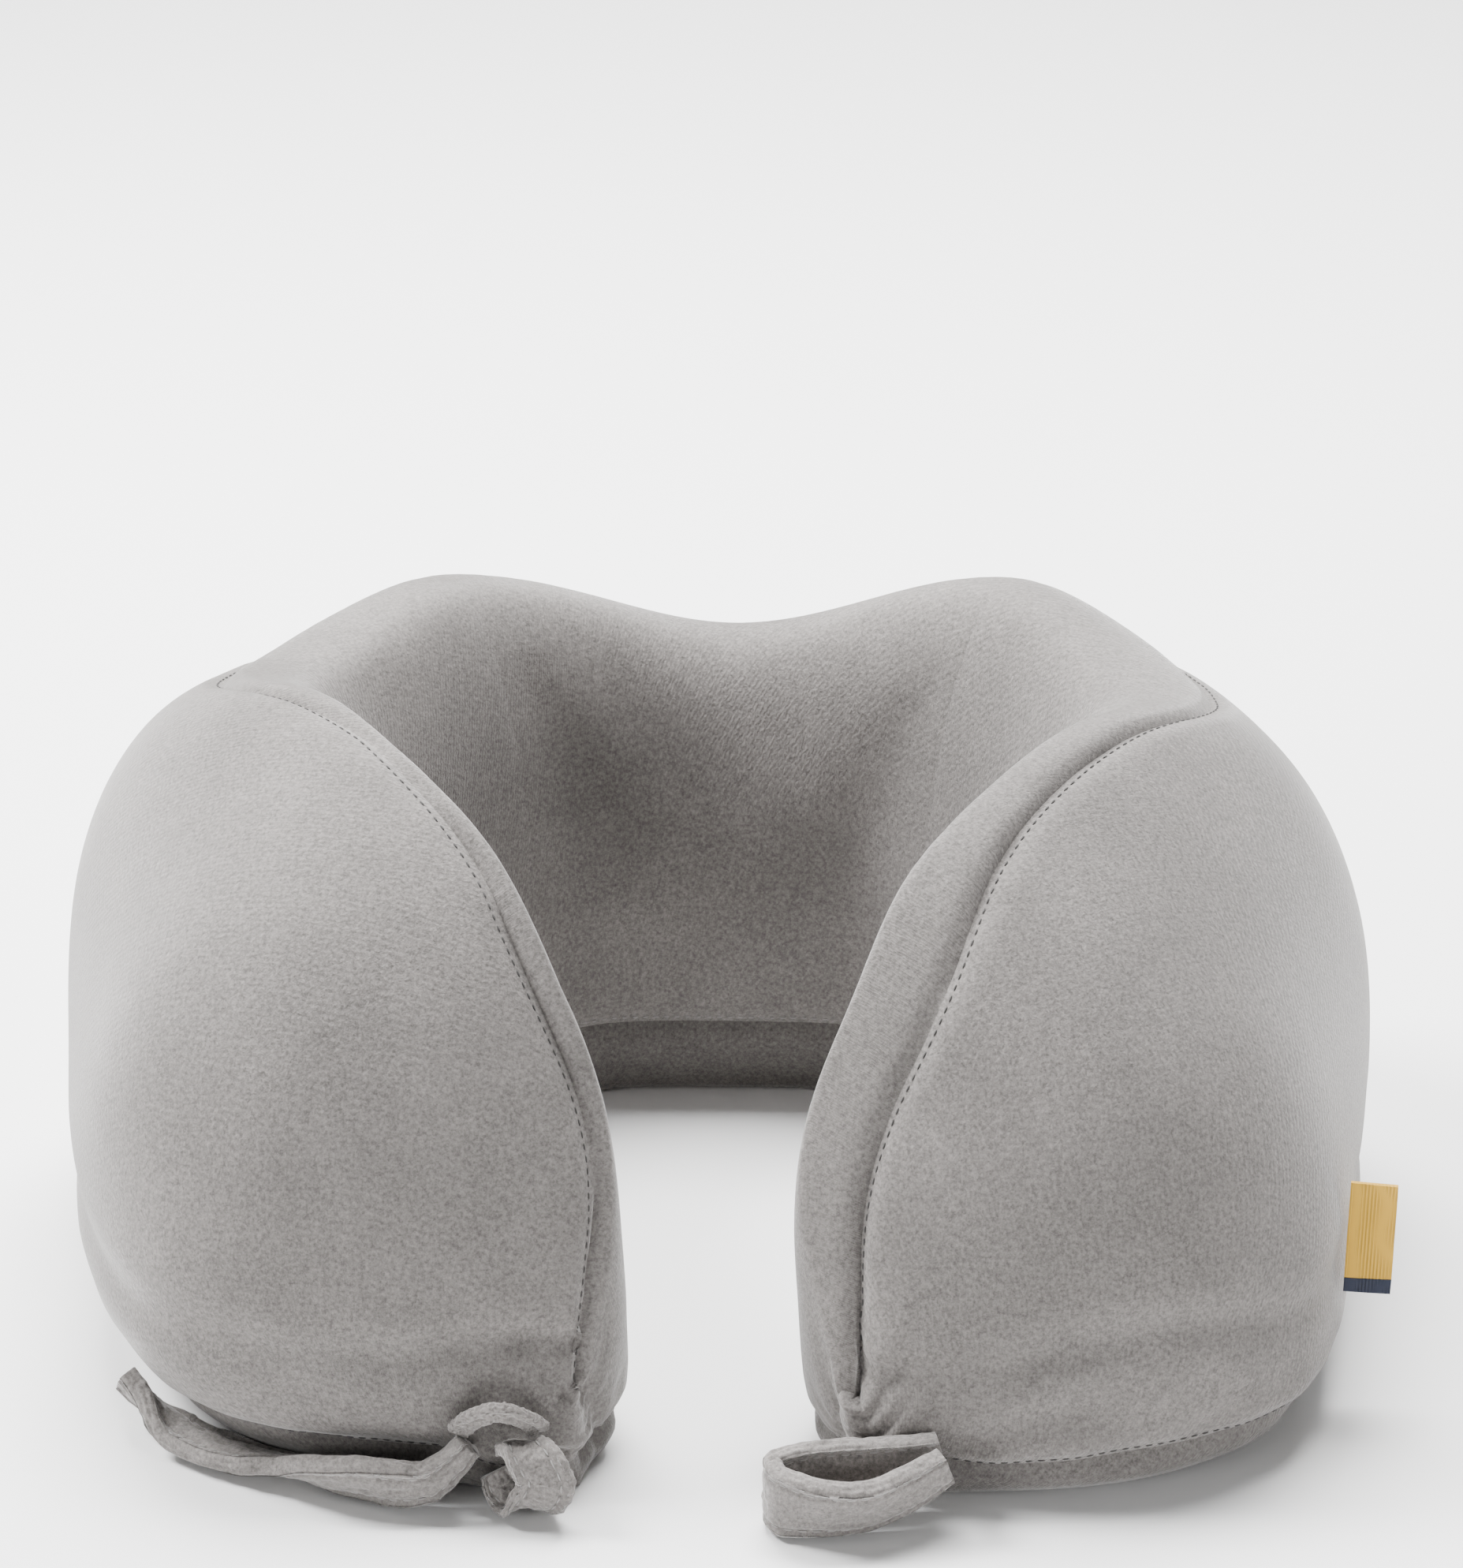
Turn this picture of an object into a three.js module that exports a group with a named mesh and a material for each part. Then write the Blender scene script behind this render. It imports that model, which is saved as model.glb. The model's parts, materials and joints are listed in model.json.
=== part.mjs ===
// U-shaped neck pillow: a memory foam core in a knitted liner and a zipped velour cover.
// Millimetres, +Z up. The open side of the U faces -Y, the back of the neck faces +Y.
import * as THREE from "three";

// ---------------------------------------------------------------- driving dimensions
const pillowWidth = 300; // outer faces of the two arms
const pillowDepth = 239; // fronts of the arms to the outer back
const pillowHeight = 136; // highest point of the arms
const backRadius = 290; // plan radius of the outer back, which the zip follows
const armSway = 4.6; // how far the arm tops lean toward -X
const armTilt = 3.1; // left arm higher and right arm lower than the mean
const velour = 1.2; // cover fabric with its pile
const linerCloth = 0.6; // knitted liner
const layerGap = 0.4; // between cover, liner and foam
const seamGap = 0.4; // between two panels at a seam
const flexPlace = 0.2; // where the back ends and an arm begins, as a place along the arm
const zipEnd = 0.15; // half length of the zip, as a place along the arm
const tapeThickness = 0.5;
const coilWidth = 2.2; // one side of the zip's coil
const coilHeight = 1.6;
const sliderLength = 9;
const sliderWidth = 7.6;
const sliderWall = 0.8;
const slotClear = 0.2; // between the slider's side and the edge of the slot
const zipSlot = sliderWidth + 2 * slotClear; // opening between the panels that the zip fills
const pullLength = 22;
const pullWidth = 6;
const pullThickness = 1.2;
const strapWidth = 16; // folded velour straps
const strapThickness = 4.6;
const collarWidth = 5.4; // the short strap that the ring hangs from
const collarThickness = 2.6;
const labelLength = 27; // woven flag on the right arm
const labelWidth = 10.5;
const labelThickness = 1.2;
const leftFullness = 0.55; // how much rounder the left arm's outer shoulder is
const footRecess = 12; // extra undercut of the left arm's foot, where the long strap lies
const footRaise = 10; // how much higher the left arm is widest there

// ---------------------------------------------------------------- shape of the pillow
// The pillow is a row of upright slices. Each runs from the inner wall to the outer wall.
// Stations: place along the arm (0 at the middle of the back, 1 at the tip of the arm),
// inner wall x and y, outer wall x and y, crest height, crest position across the slice,
// outward lean of the inner wall at its top, and height of the widest level.
const stations = [
  [0.0, 0, 66, 0, 127, 113.5, 0.47, 8, 34],
  [0.12, 28, 64.5, 60.5, 121, 126, 0.45, 8, 34],
  [0.22, 46, 53, 100, 103, 132.5, 0.37, 8, 37],
  [0.32, 59, 34.5, 129, 74, 128.8, 0.29, 9, 41],
  [0.42, 66.5, 12.5, 150.5, 38.5, 129.6, 0.26, 11, 42],
  [0.52, 61, -8.5, 149, 1.5, 136, 0.19, 8, 36],
  [0.62, 47, -33, 142, -40.5, 132.5, 0.13, 4, 26],
  [0.72, 34.5, -53.5, 132.5, -77.5, 121.5, 0.09, 1.5, 18],
  [0.82, 25.5, -70, 107.5, -104, 98.5, 0.08, -1, 15],
  [0.91, 19.5, -87.5, 69.5, -111.5, 64, 0.08, -3, 13],
  [1.0, 27, -106, 35, -112, 24, 0.22, -2, 10],
];
const nominalWidth = 300;
const nominalDepth = 239;
const nominalHeight = 136;
const across = pillowWidth / nominalWidth;
const along = pillowDepth / nominalDepth;
const upward = pillowHeight / nominalHeight;
const backFace = 127 * along; // y of the outer back
const crestRoundness = 2.3; // superellipse exponent of the outer face
const wallRoundness = 2.4; // superellipse exponent of the inner wall
const footDrop = 1.12; // the foot's ellipse is cut by the floor at 1 / footDrop of its height
const footAngle = Math.asin(1 / footDrop);
const backSeamLevel = 23; // height of the zip seam at the back
const armSeamLevel = 10; // height of the base seam along the outer side of the arms
const neckSeamLevel = 20; // height of the base seam on the neck wall
const tipSeamLevel = 9; // height of the base seam inside the tips

// A natural cubic spline through mirrored knots. Even values meet level at the middle of the
// back, odd values (x) pass through zero there.
function spline(places, values, odd = false) {
  const sign = odd ? -1 : 1;
  const x = [...places.slice(1).map((p) => -p).reverse(), ...places];
  const y = [...values.slice(1).map((v) => sign * v).reverse(), ...values];
  const n = x.length;
  const bend = new Array(n).fill(0);
  const work = new Array(n).fill(0);
  for (let i = 1; i < n - 1; i++) {
    const share = (x[i] - x[i - 1]) / (x[i + 1] - x[i - 1]);
    const p = share * bend[i - 1] + 2;
    const rise = (y[i + 1] - y[i]) / (x[i + 1] - x[i]) - (y[i] - y[i - 1]) / (x[i] - x[i - 1]);
    bend[i] = (share - 1) / p;
    work[i] = ((6 * rise) / (x[i + 1] - x[i - 1]) - share * work[i - 1]) / p;
  }
  bend[n - 1] = 0;
  for (let i = n - 2; i >= 0; i--) bend[i] = bend[i] * bend[i + 1] + work[i];
  return (s) => {
    let k = 1;
    while (k < n - 1 && s > x[k]) k++;
    const h = x[k] - x[k - 1];
    const a = (x[k] - s) / h;
    const b = (s - x[k - 1]) / h;
    const curve = (a ** 3 - a) * bend[k - 1] + (b ** 3 - b) * bend[k];
    return a * y[k - 1] + b * y[k] + (curve * h * h) / 6;
  };
}

const column = (k) => stations.map((row) => row[k]);
const places = column(0);
const innerX = spline(places, column(1), true);
const innerY = spline(places, column(2));
const crestHeight = spline(places, column(5));
const crestPlace = spline(places, column(6));
const wallLean = spline(places, column(7));
const widestLevel = spline(places, column(8));
const backPlaces = [0, 0.06, 0.12, 0.17];
const backSweep = Math.asin((60.5 * across) / backRadius) / 0.12; // angle per place
const onBack = (s) => [
  backRadius * Math.sin(s * backSweep),
  backFace - backRadius * (1 - Math.cos(s * backSweep)),
];
const laterRows = stations.filter((row) => row[0] > 0.2);
const outerPlaces = [...backPlaces, ...laterRows.map((row) => row[0])];
const outerXs = [...backPlaces.map((s) => onBack(s)[0]), ...laterRows.map((r) => r[3] * across)];
const outerYs = [...backPlaces.map((s) => onBack(s)[1]), ...laterRows.map((r) => r[4] * along)];
const outerX = spline(outerPlaces, outerXs, true);
const outerY = spline(outerPlaces, outerYs);
const footPlaces = [0, 0.22, 0.42, 0.62, 0.82, 1];
const footOuter = spline(footPlaces, [30, 30, 34, 32, 22, 9]);
const footInner = spline(footPlaces, [15, 15, 19, 21, 18, 8]);
// The sewn edge sits past the crest, as an angle round the outer curve. It lies further out on
// the right arm than on the left arm, and both run into the same seam at the back.
const seamPlaces = [0, 0.12, 0.22, 0.32, 0.42, 0.52, 0.75, 1];
const seamRight = spline(seamPlaces, [1, 0.94, 0.72, 0.48, 0.3, 0.15, 0.14, 0.22]);
const seamLeft = spline(seamPlaces, [1, 0.94, 0.7, 0.42, 0.22, 0.07, 0.02, 0.03]);
const edgeBreak = spline([0, 0.22, 0.42, 0.55, 0.7, 1], [1, 0.92, 0.6, 0.48, 0.52, 0.45]);

const ease = (x, low, high) => {
  const t = THREE.MathUtils.clamp((x - low) / (high - low), 0, 1);
  return t * t * (3 - 2 * t);
};
const power = (base, exponent) => Math.max(base, 0) ** exponent;

// Everything one slice needs; s runs from -1 (left tip) through 0 to 1 (right tip).
function sliceAt(s) {
  const side = s < 0 ? -1 : 1;
  const p = Math.abs(s);
  const arm = ease(p, 0.15, 0.45);
  const outer = p <= zipEnd ? onBack(p) : [outerX(p), outerY(p)];
  const inner = [innerX(p) * across, innerY(p) * along];
  const width = Math.hypot(outer[0] - inner[0], outer[1] - inner[1]);
  const meanHeight = crestHeight(p) * upward;
  const tilt = armTilt * ease(p, 0.3, 0.6) * Math.min(1, meanHeight / 120);
  const height = meanHeight - side * tilt;
  const overStrap = side < 0 ? ease(p, 0.55, 0.7) * (1 - ease(p, 0.86, 0.97)) : 0;
  const level = (p <= zipEnd ? 34 : widestLevel(p)) * upward + footRaise * overStrap;
  const widest = Math.min(level, 0.6 * height);
  return {
    side,
    arm,
    inner,
    outer,
    width,
    height,
    widest,
    crest: THREE.MathUtils.clamp(crestPlace(p), 0.04, 0.9),
    lean: wallLean(p),
    footOut: Math.min((p <= zipEnd ? 30 : footOuter(p)) + footRecess * overStrap, 0.5 * width),
    footIn: Math.min(footInner(p), 0.4 * width),
    seam: THREE.MathUtils.clamp((side < 0 ? seamLeft : seamRight)(p), 0.02, 1.3),
    edge: edgeBreak(p) * (side < 0 ? 1 - leftFullness * ease(p, 0.25, 0.45) : 1),
    seamOut: Math.min(THREE.MathUtils.lerp(backSeamLevel, armSeamLevel, arm), 0.7 * widest),
    seamIn: Math.min(
      THREE.MathUtils.lerp(neckSeamLevel, tipSeamLevel, ease(p, 0.3, 0.9)),
      0.7 * widest,
    ),
  };
}

// A point of a slice: r is 0 on the inner wall and 1 on the outer wall, z is the height.
function placeInSlice(slice, r, z) {
  const rise = THREE.MathUtils.clamp(z / slice.height, 0, 1);
  const share = r + (slice.lean / slice.width) * rise * (1 - r);
  const x = slice.inner[0] + (slice.outer[0] - slice.inner[0]) * share;
  const y = slice.inner[1] + (slice.outer[1] - slice.inner[1]) * share;
  const sway = (armSway * slice.arm * z) / pillowHeight;
  return new THREE.Vector3(slice.side * x - sway, y, Math.max(z, 0));
}

const steps = (count) => Array.from({ length: count + 1 }, (_, i) => i / count);

// Outer face of a slice, from the sewn edge down to the base seam.
function outerFace(slice) {
  const e = 2 / crestRoundness;
  const above = slice.height - slice.widest;
  const edgeR = slice.crest + (1 - slice.crest) * power(Math.sin(slice.seam), e);
  const edgeZ = slice.widest + above * power(Math.cos(slice.seam), e);
  const startOut = power(Math.sin(slice.edge), e);
  const startUp = power(Math.cos(slice.edge), e);
  const points = [];
  for (const t of steps(40)) {
    const angle = slice.edge + (Math.PI / 2 - slice.edge) * t;
    const out = (power(Math.sin(angle), e) - startOut) / (1 - startOut);
    const up = power(Math.cos(angle), e) / startUp;
    const z = slice.widest + (edgeZ - slice.widest) * up;
    points.push(placeInSlice(slice, edgeR + (1 - edgeR) * out, z));
  }
  for (const t of steps(12).slice(1)) {
    points.push(footPoint(slice, 1, footSeamAngle(slice, slice.seamOut) * t));
  }
  return points;
}

// The foot is a quarter ellipse from the widest level down, cut flat by the floor.
function footPoint(slice, wall, angle) {
  const reach = wall > 0 ? slice.footOut : slice.footIn;
  const inset = (reach / slice.width) * (1 - Math.cos(angle));
  const z = slice.widest * (1 - footDrop * Math.sin(angle));
  return placeInSlice(slice, wall > 0 ? 1 - inset : inset, z);
}
function footSeamAngle(slice, level) {
  return Math.asin((slice.widest - level) / (footDrop * slice.widest));
}

// Base of a slice: outer seam, floor contact, inner seam, as three stretches.
function basePanel(slice) {
  const outerStart = footSeamAngle(slice, slice.seamOut);
  const innerStart = footSeamAngle(slice, slice.seamIn);
  const outward = steps(8).map((t) =>
    footPoint(slice, 1, outerStart + (footAngle - outerStart) * t),
  );
  const inward = steps(8).map((t) =>
    footPoint(slice, 0, footAngle + (innerStart - footAngle) * t),
  );
  return [outward, [outward.at(-1), inward[0]], inward];
}

// Neck side of a slice: from the base seam up the wall, over the crest, to the sewn edge.
function neckFace(slice) {
  const above = slice.height - slice.widest;
  const points = steps(10).map((t) =>
    footPoint(slice, 0, footSeamAngle(slice, slice.seamIn) * (1 - t)),
  );
  for (const t of steps(36).slice(1)) {
    const angle = (Math.PI / 2) * (1 - t);
    const r = slice.crest * (1 - power(Math.sin(angle), 2 / wallRoundness));
    points.push(placeInSlice(slice, r, slice.widest + above * power(Math.cos(angle), 2 / wallRoundness)));
  }
  for (const t of steps(20).slice(1)) {
    const angle = slice.seam * t;
    const r = slice.crest + (1 - slice.crest) * power(Math.sin(angle), 2 / crestRoundness);
    points.push(placeInSlice(slice, r, slice.widest + above * power(Math.cos(angle), 2 / crestRoundness)));
  }
  return points;
}

// Points at equal distances along a polyline, both ends kept.
function evenly(points, count) {
  const far = [0];
  for (let i = 1; i < points.length; i++) far.push(far[i - 1] + points[i].distanceTo(points[i - 1]));
  return steps(count).map((t) => {
    const goal = t * far.at(-1);
    let k = 1;
    while (k < far.length - 1 && far[k] < goal) k++;
    const share = (goal - far[k - 1]) / Math.max(far[k] - far[k - 1], 1e-9);
    return points[k - 1].clone().lerp(points[k], THREE.MathUtils.clamp(share, 0, 1));
  });
}

// ---------------------------------------------------------------- the grid of the outside
const outerSteps = 12;
const footSteps = 2;
const neckSteps = 11;
const baseSeamOut = outerSteps; // column of the outer base seam
const baseSeamIn = baseSeamOut + 3 * footSteps; // column of the inner base seam
const columns = baseSeamIn + neckSteps; // the last column closes onto column 0, the sewn edge
const armPlaces = [
  0.25, 0.3, 0.35, 0.4, 0.45, 0.5, 0.55, 0.6, 0.65, 0.7, 0.75, 0.8, 0.845, 0.885, 0.92, 0.95, 0.975, 1,
];
const halfPlaces = [0.05, 0.1, zipEnd, flexPlace, ...armPlaces];
const rowPlaces = [...halfPlaces.map((p) => -p).reverse(), 0, ...halfPlaces];
const rowOf = (place) => rowPlaces.findIndex((p) => Math.abs(p - place) < 1e-9);

const surface = rowPlaces.map((s) => {
  const slice = sliceAt(s);
  const [down, flat, rise] = basePanel(slice);
  return [
    ...evenly(outerFace(slice), outerSteps).slice(0, -1),
    ...evenly(down, footSteps).slice(0, -1),
    ...evenly(flat, footSteps).slice(0, -1),
    ...evenly(rise, footSteps).slice(0, -1),
    ...evenly(neckFace(slice), neckSteps).slice(0, -1),
  ];
});
const outward = surface.map((row, i) =>
  row.map((_, j) => {
    const before = surface[Math.max(i - 1, 0)][j];
    const after = surface[Math.min(i + 1, surface.length - 1)][j];
    const above = row[(j + columns - 1) % columns];
    const below = row[(j + 1) % columns];
    return new THREE.Vector3()
      .crossVectors(after.clone().sub(before), below.clone().sub(above))
      .normalize();
  }),
);
const layer = (i, j, depth) =>
  surface[i][j % columns].clone().addScaledVector(outward[i][j % columns], -depth);

// ---------------------------------------------------------------- solids from grids
function solid(name, faces, colour, roughness = 0.95, metalness = 0) {
  const numbers = [];
  for (const [a, b, c] of faces) numbers.push(...a.toArray(), ...b.toArray(), ...c.toArray());
  const geometry = new THREE.BufferGeometry();
  geometry.setAttribute("position", new THREE.Float32BufferAttribute(numbers, 3));
  geometry.computeVertexNormals();
  return named(name, geometry, colour, roughness, metalness);
}
function named(name, geometry, colour, roughness = 0.95, metalness = 0) {
  const material = new THREE.MeshStandardMaterial({ color: colour, roughness, metalness });
  const mesh = new THREE.Mesh(geometry, material);
  mesh.name = name;
  return mesh;
}
// Rows run along the part and columns clockwise round it, seen against the rows.
const quad = (a, b, c, d) => [[a, c, b], [a, d, c]];

// A sheet with thickness between two grids of the same size; grid[row][column].
function sheetFaces(top, under) {
  const faces = [];
  const m = top.length - 1;
  const n = top[0].length - 1;
  for (let i = 0; i < m; i++) {
    for (let j = 0; j < n; j++) {
      faces.push(...quad(top[i][j], top[i][j + 1], top[i + 1][j + 1], top[i + 1][j]));
      faces.push(...quad(under[i][j], under[i + 1][j], under[i + 1][j + 1], under[i][j + 1]));
    }
    faces.push(...quad(top[i][0], top[i + 1][0], under[i + 1][0], under[i][0]));
    faces.push(...quad(top[i + 1][n], top[i][n], under[i][n], under[i + 1][n]));
  }
  for (let j = 0; j < n; j++) {
    faces.push(...quad(top[0][j + 1], top[0][j], under[0][j], under[0][j + 1]));
    faces.push(...quad(top[m][j], top[m][j + 1], under[m][j + 1], under[m][j]));
  }
  return faces;
}

// Pull the edge rows and columns of a grid inward, so that neighbours keep their seam gap.
function trimmed(grid, distances) {
  const [firstRow, lastRow, firstColumn, lastColumn] = distances;
  const m = grid.length - 1;
  const n = grid[0].length - 1;
  const pull = (point, toward, distance) =>
    point.clone().add(toward.clone().sub(point).setLength(distance));
  const rows = grid.map((row) => {
    const copy = row.map((point) => point.clone());
    copy[0] = pull(row[0], row[1], firstColumn);
    copy[n] = pull(row[n], row[n - 1], lastColumn);
    return copy;
  });
  const result = rows.map((row) => row.map((point) => point.clone()));
  for (let j = 0; j <= n; j++) {
    result[0][j] = pull(rows[0][j], rows[1][j], firstRow);
    result[m][j] = pull(rows[m][j], rows[m - 1][j], lastRow);
  }
  return result;
}

// One panel of the cover between two rows and two columns.
function panel(name, fromPlace, toPlace, fromColumn, toColumn, colour, slots = [0, 0]) {
  const from = rowOf(fromPlace);
  const to = rowOf(toPlace);
  const half = seamGap / 2;
  const atTip = (place) => (Math.abs(place) === 1 ? 0.01 : half);
  const distances = [atTip(fromPlace), atTip(toPlace), half + slots[0], half + slots[1]];
  const pick = (depth) => {
    const grid = [];
    for (let i = from; i <= to; i++) {
      const row = [];
      for (let j = fromColumn; j <= toColumn; j++) row.push(layer(i, j, depth));
      grid.push(row);
    }
    return trimmed(grid, distances);
  };
  return solid(name, sheetFaces(pick(0), pick(velour)), colour);
}

// The gusset of an arm turns round the tip and closes it up to the outer panel.
function gusset(name, side, colour) {
  const from = rowOf(side * flexPlace);
  const tip = rowOf(side);
  const order = side > 0 ? 1 : -1;
  const half = seamGap / 2;
  const grid = (depth) => {
    const rows = [];
    for (let i = from; i !== tip + order; i += order) {
      const row = [];
      for (let j = baseSeamIn; j <= columns; j++) row.push(layer(i, j, depth));
      rows.push(row);
    }
    // the closing strip: across the tip's end, level by level, short of the outer panel
    const wall = surface[tip].slice(0, baseSeamOut + 1);
    const inward = surface[tip - order][0].clone().sub(surface[tip][0]).setZ(0).normalize();
    const strip = [];
    for (let j = baseSeamIn; j <= columns; j++) {
      const start = surface[tip][j % columns];
      const facing = wall.reduce((a, b) => (Math.abs(b.z - start.z) < Math.abs(a.z - start.z) ? b : a));
      const reach = Math.max(0.15, 1 - (velour + seamGap + 0.3) / Math.max(start.distanceTo(facing), 2));
      const share = j === columns ? 0.02 : Math.min(reach, 0.7);
      strip.push(start.clone().lerp(facing, share).addScaledVector(inward, depth + 0.02));
    }
    rows.push(strip);
    const result = trimmed(rows, [half, 0, half, half]);
    return side > 0 ? result : result.reverse();
  };
  return solid(name, sheetFaces(grid(0), grid(velour)), colour);
}

// A closed tube of rows, each a closed loop, with flat ends.
function tubeFaces(rows, capFirst = true, capLast = true) {
  const faces = [];
  const n = rows[0].length;
  for (let i = 0; i < rows.length - 1; i++) {
    for (let j = 0; j < n; j++) {
      const k = (j + 1) % n;
      faces.push(...quad(rows[i][j], rows[i][k], rows[i + 1][k], rows[i + 1][j]));
    }
  }
  const middle = (row) => row.reduce((sum, p) => sum.add(p), new THREE.Vector3()).divideScalar(n);
  const first = middle(rows[0]);
  const last = middle(rows.at(-1));
  for (let j = 0; j < n; j++) {
    const k = (j + 1) % n;
    if (capFirst) faces.push([first, rows[0][j], rows[0][k]]);
    if (capLast) faces.push([last, rows.at(-1)[k], rows.at(-1)[j]]);
  }
  return faces;
}

// Rows of one inner layer. Its ends stand off the cut planes by half a seam gap.
function layerRows(fromPlace, toPlace, depth) {
  const from = rowOf(fromPlace);
  const to = rowOf(toPlace);
  const loops = [];
  for (let i = from; i <= to; i++) {
    loops.push(Array.from({ length: columns }, (_, j) => layer(i, j, depth)));
  }
  const nudge = (row, next) =>
    row.map((p, j) => p.clone().add(next[j].clone().sub(p).setLength(seamGap / 2)));
  const first = nudge(loops[0], loops[1]);
  const last = nudge(loops.at(-1), loops.at(-2));
  return [first, ...loops.slice(1, -1), last];
}

const foamDepth = velour + layerGap + linerCloth + layerGap;
const linerDepth = velour + layerGap;

function foamPiece(name, fromPlace, toPlace) {
  return solid(name, tubeFaces(layerRows(fromPlace, toPlace, foamDepth)), 0xe9e0c4, 0.9);
}

// The liner is a sleeve: open where it is cut, closed at an arm's tip.
function linerPiece(name, fromPlace, toPlace, closedEnd) {
  const skin = layerRows(fromPlace, toPlace, linerDepth);
  const lining = layerRows(fromPlace, toPlace, linerDepth + linerCloth);
  if (closedEnd > 0) skin.push(shrunk(skin.at(-1), skin.at(-2), linerCloth + layerGap));
  if (closedEnd < 0) skin.unshift(shrunk(skin[0], skin[1], linerCloth + layerGap));
  if (closedEnd > 0) lining.push(shrunk(lining.at(-1), lining.at(-2), layerGap));
  if (closedEnd < 0) lining.unshift(shrunk(lining[0], lining[1], layerGap));
  const faces = tubeFaces(skin, closedEnd < 0, closedEnd > 0);
  for (const [a, b, c] of tubeFaces(lining, closedEnd < 0, closedEnd > 0)) faces.push([a, c, b]);
  for (let j = 0; j < columns; j++) {
    const k = (j + 1) % columns;
    if (closedEnd >= 0) faces.push(...quad(skin[0][k], skin[0][j], lining[0][j], lining[0][k]));
    if (closedEnd <= 0) {
      faces.push(...quad(skin.at(-1)[j], skin.at(-1)[k], lining.at(-1)[k], lining.at(-1)[j]));
    }
  }
  return solid(name, faces, 0xf2f1ec, 0.95);
}
// One more row past an end: the loop carried on by a distance and drawn slightly together.
function shrunk(row, before, distance) {
  const middle = (loop) =>
    loop.reduce((sum, p) => sum.add(p), new THREE.Vector3()).divideScalar(loop.length);
  const centre = middle(row);
  const onward = centre.clone().sub(middle(before)).setLength(distance);
  return row.map((p) => p.clone().lerp(centre, 0.04).add(onward));
}

// ---------------------------------------------------------------- straps and label
// A flat strap swept along a smooth route. Each stop gives a place, the way its width points,
// and how much of its full width is left there once it is gathered.
function strap(name, stops, colour, width = strapWidth, thickness = strapThickness, pieces = 26) {
  const route = new THREE.CatmullRomCurve3(stops.map(([place]) => new THREE.Vector3(...place)));
  const widths = new THREE.CatmullRomCurve3(stops.map(([, way]) => new THREE.Vector3(...way)));
  const gathers = stops.map(([, , share = 1]) => share);
  const soft = 0.3 * thickness; // rounding of the strap's long edges
  const outline = [
    [width / 2, -thickness / 2 + soft],
    [width / 2, thickness / 2 - soft],
    [width / 2 - soft, thickness / 2],
    [-width / 2 + soft, thickness / 2],
    [-width / 2, thickness / 2 - soft],
    [-width / 2, -thickness / 2 + soft],
    [-width / 2 + soft, -thickness / 2],
    [width / 2 - soft, -thickness / 2],
  ];
  const rows = steps(pieces).map((t) => {
    const ahead = route.getTangent(t);
    const way = widths.getPoint(t);
    way.addScaledVector(ahead, -way.dot(ahead)).normalize();
    const flatSide = new THREE.Vector3().crossVectors(way, ahead);
    const centre = route.getPoint(t);
    const step = Math.min(Math.floor(t * (stops.length - 1)), stops.length - 2);
    const within = t * (stops.length - 1) - step;
    const share = THREE.MathUtils.lerp(gathers[step], gathers[step + 1], within);
    return outline.map(([a, b]) =>
      centre.clone().addScaledVector(way, a * share).addScaledVector(flatSide, b),
    );
  });
  return solid(name, tubeFaces(rows), colour);
}

// ---------------------------------------------------------------- build the pillow
const grey = 0x9c9893;
const paleGrey = 0xa6a29d;
const shadeGrey = 0x8a8682;
const pillow = new THREE.Group();

const halves = [
  ["left", -1],
  ["right", 1],
];
pillow.add(foamPiece("foam_core_back", -flexPlace, flexPlace));
pillow.add(linerPiece("liner_back", -flexPlace, flexPlace, 0));
pillow.add(
  panel("cover_outer_back", -flexPlace, flexPlace, 0, baseSeamOut, grey, [0, zipSlot / 2]),
  panel("cover_base_back", -flexPlace, flexPlace, baseSeamOut, baseSeamIn, shadeGrey, [zipSlot / 2, 0]),
  panel("cover_neck_back", -flexPlace, flexPlace, baseSeamIn, columns, paleGrey),
);
const tipOfFoam = 0.95;
for (const [label, side] of halves) {
  const span = (end) => (side > 0 ? [flexPlace, end] : [-end, -flexPlace]);
  pillow.add(foamPiece(`foam_core_arm_${label}`, ...span(tipOfFoam)));
  pillow.add(linerPiece(`liner_arm_${label}`, ...span(tipOfFoam), side));
  pillow.add(panel(`cover_outer_arm_${label}`, ...span(1), 0, baseSeamOut, grey));
  pillow.add(panel(`cover_base_arm_${label}`, ...span(1), baseSeamOut, baseSeamIn, shadeGrey));
  pillow.add(gusset(`cover_gusset_${label}`, side, paleGrey));
}

// ---------------------------------------------------------------- the zip at the back
const zipSlice = sliceAt(0);
const zipInset = zipSlice.footOut * (1 - Math.cos(footSeamAngle(zipSlice, zipSlice.seamOut)));
const zipRadius = backRadius - zipInset;
const zipCentreY = backFace - backRadius;
const zipLevel = zipSlice.seamOut;
const zipHalfAngle = zipEnd * backSweep;

// A bar of rectangular section bent round the back: radial and vertical limits, and angles.
function backBar(name, radii, levels, angles, colour, pieces = 16, roughness = 0.8) {
  const at = (angle, radius, z) =>
    new THREE.Vector3(radius * Math.sin(angle), zipCentreY + radius * Math.cos(angle), z);
  const rows = steps(pieces).map((t) => {
    const angle = THREE.MathUtils.lerp(angles[0], angles[1], t);
    return [
      at(angle, radii[1], levels[1]),
      at(angle, radii[1], levels[0]),
      at(angle, radii[0], levels[0]),
      at(angle, radii[0], levels[1]),
    ];
  });
  return solid(name, tubeFaces(rows), colour, roughness);
}
const tapeOuter = zipRadius - 0.2;
const tapeRadii = [tapeOuter - tapeThickness, tapeOuter];
const coilRadii = [tapeOuter + 0.3, tapeOuter + 0.3 + coilHeight];
const tapeEdge = zipSlot / 2 - 0.1;
const fullArc = [-zipHalfAngle, zipHalfAngle];
const chainArc = [-zipHalfAngle + 0.02, zipHalfAngle - 0.02];
const charcoal = 0x5d5a58;
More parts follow.
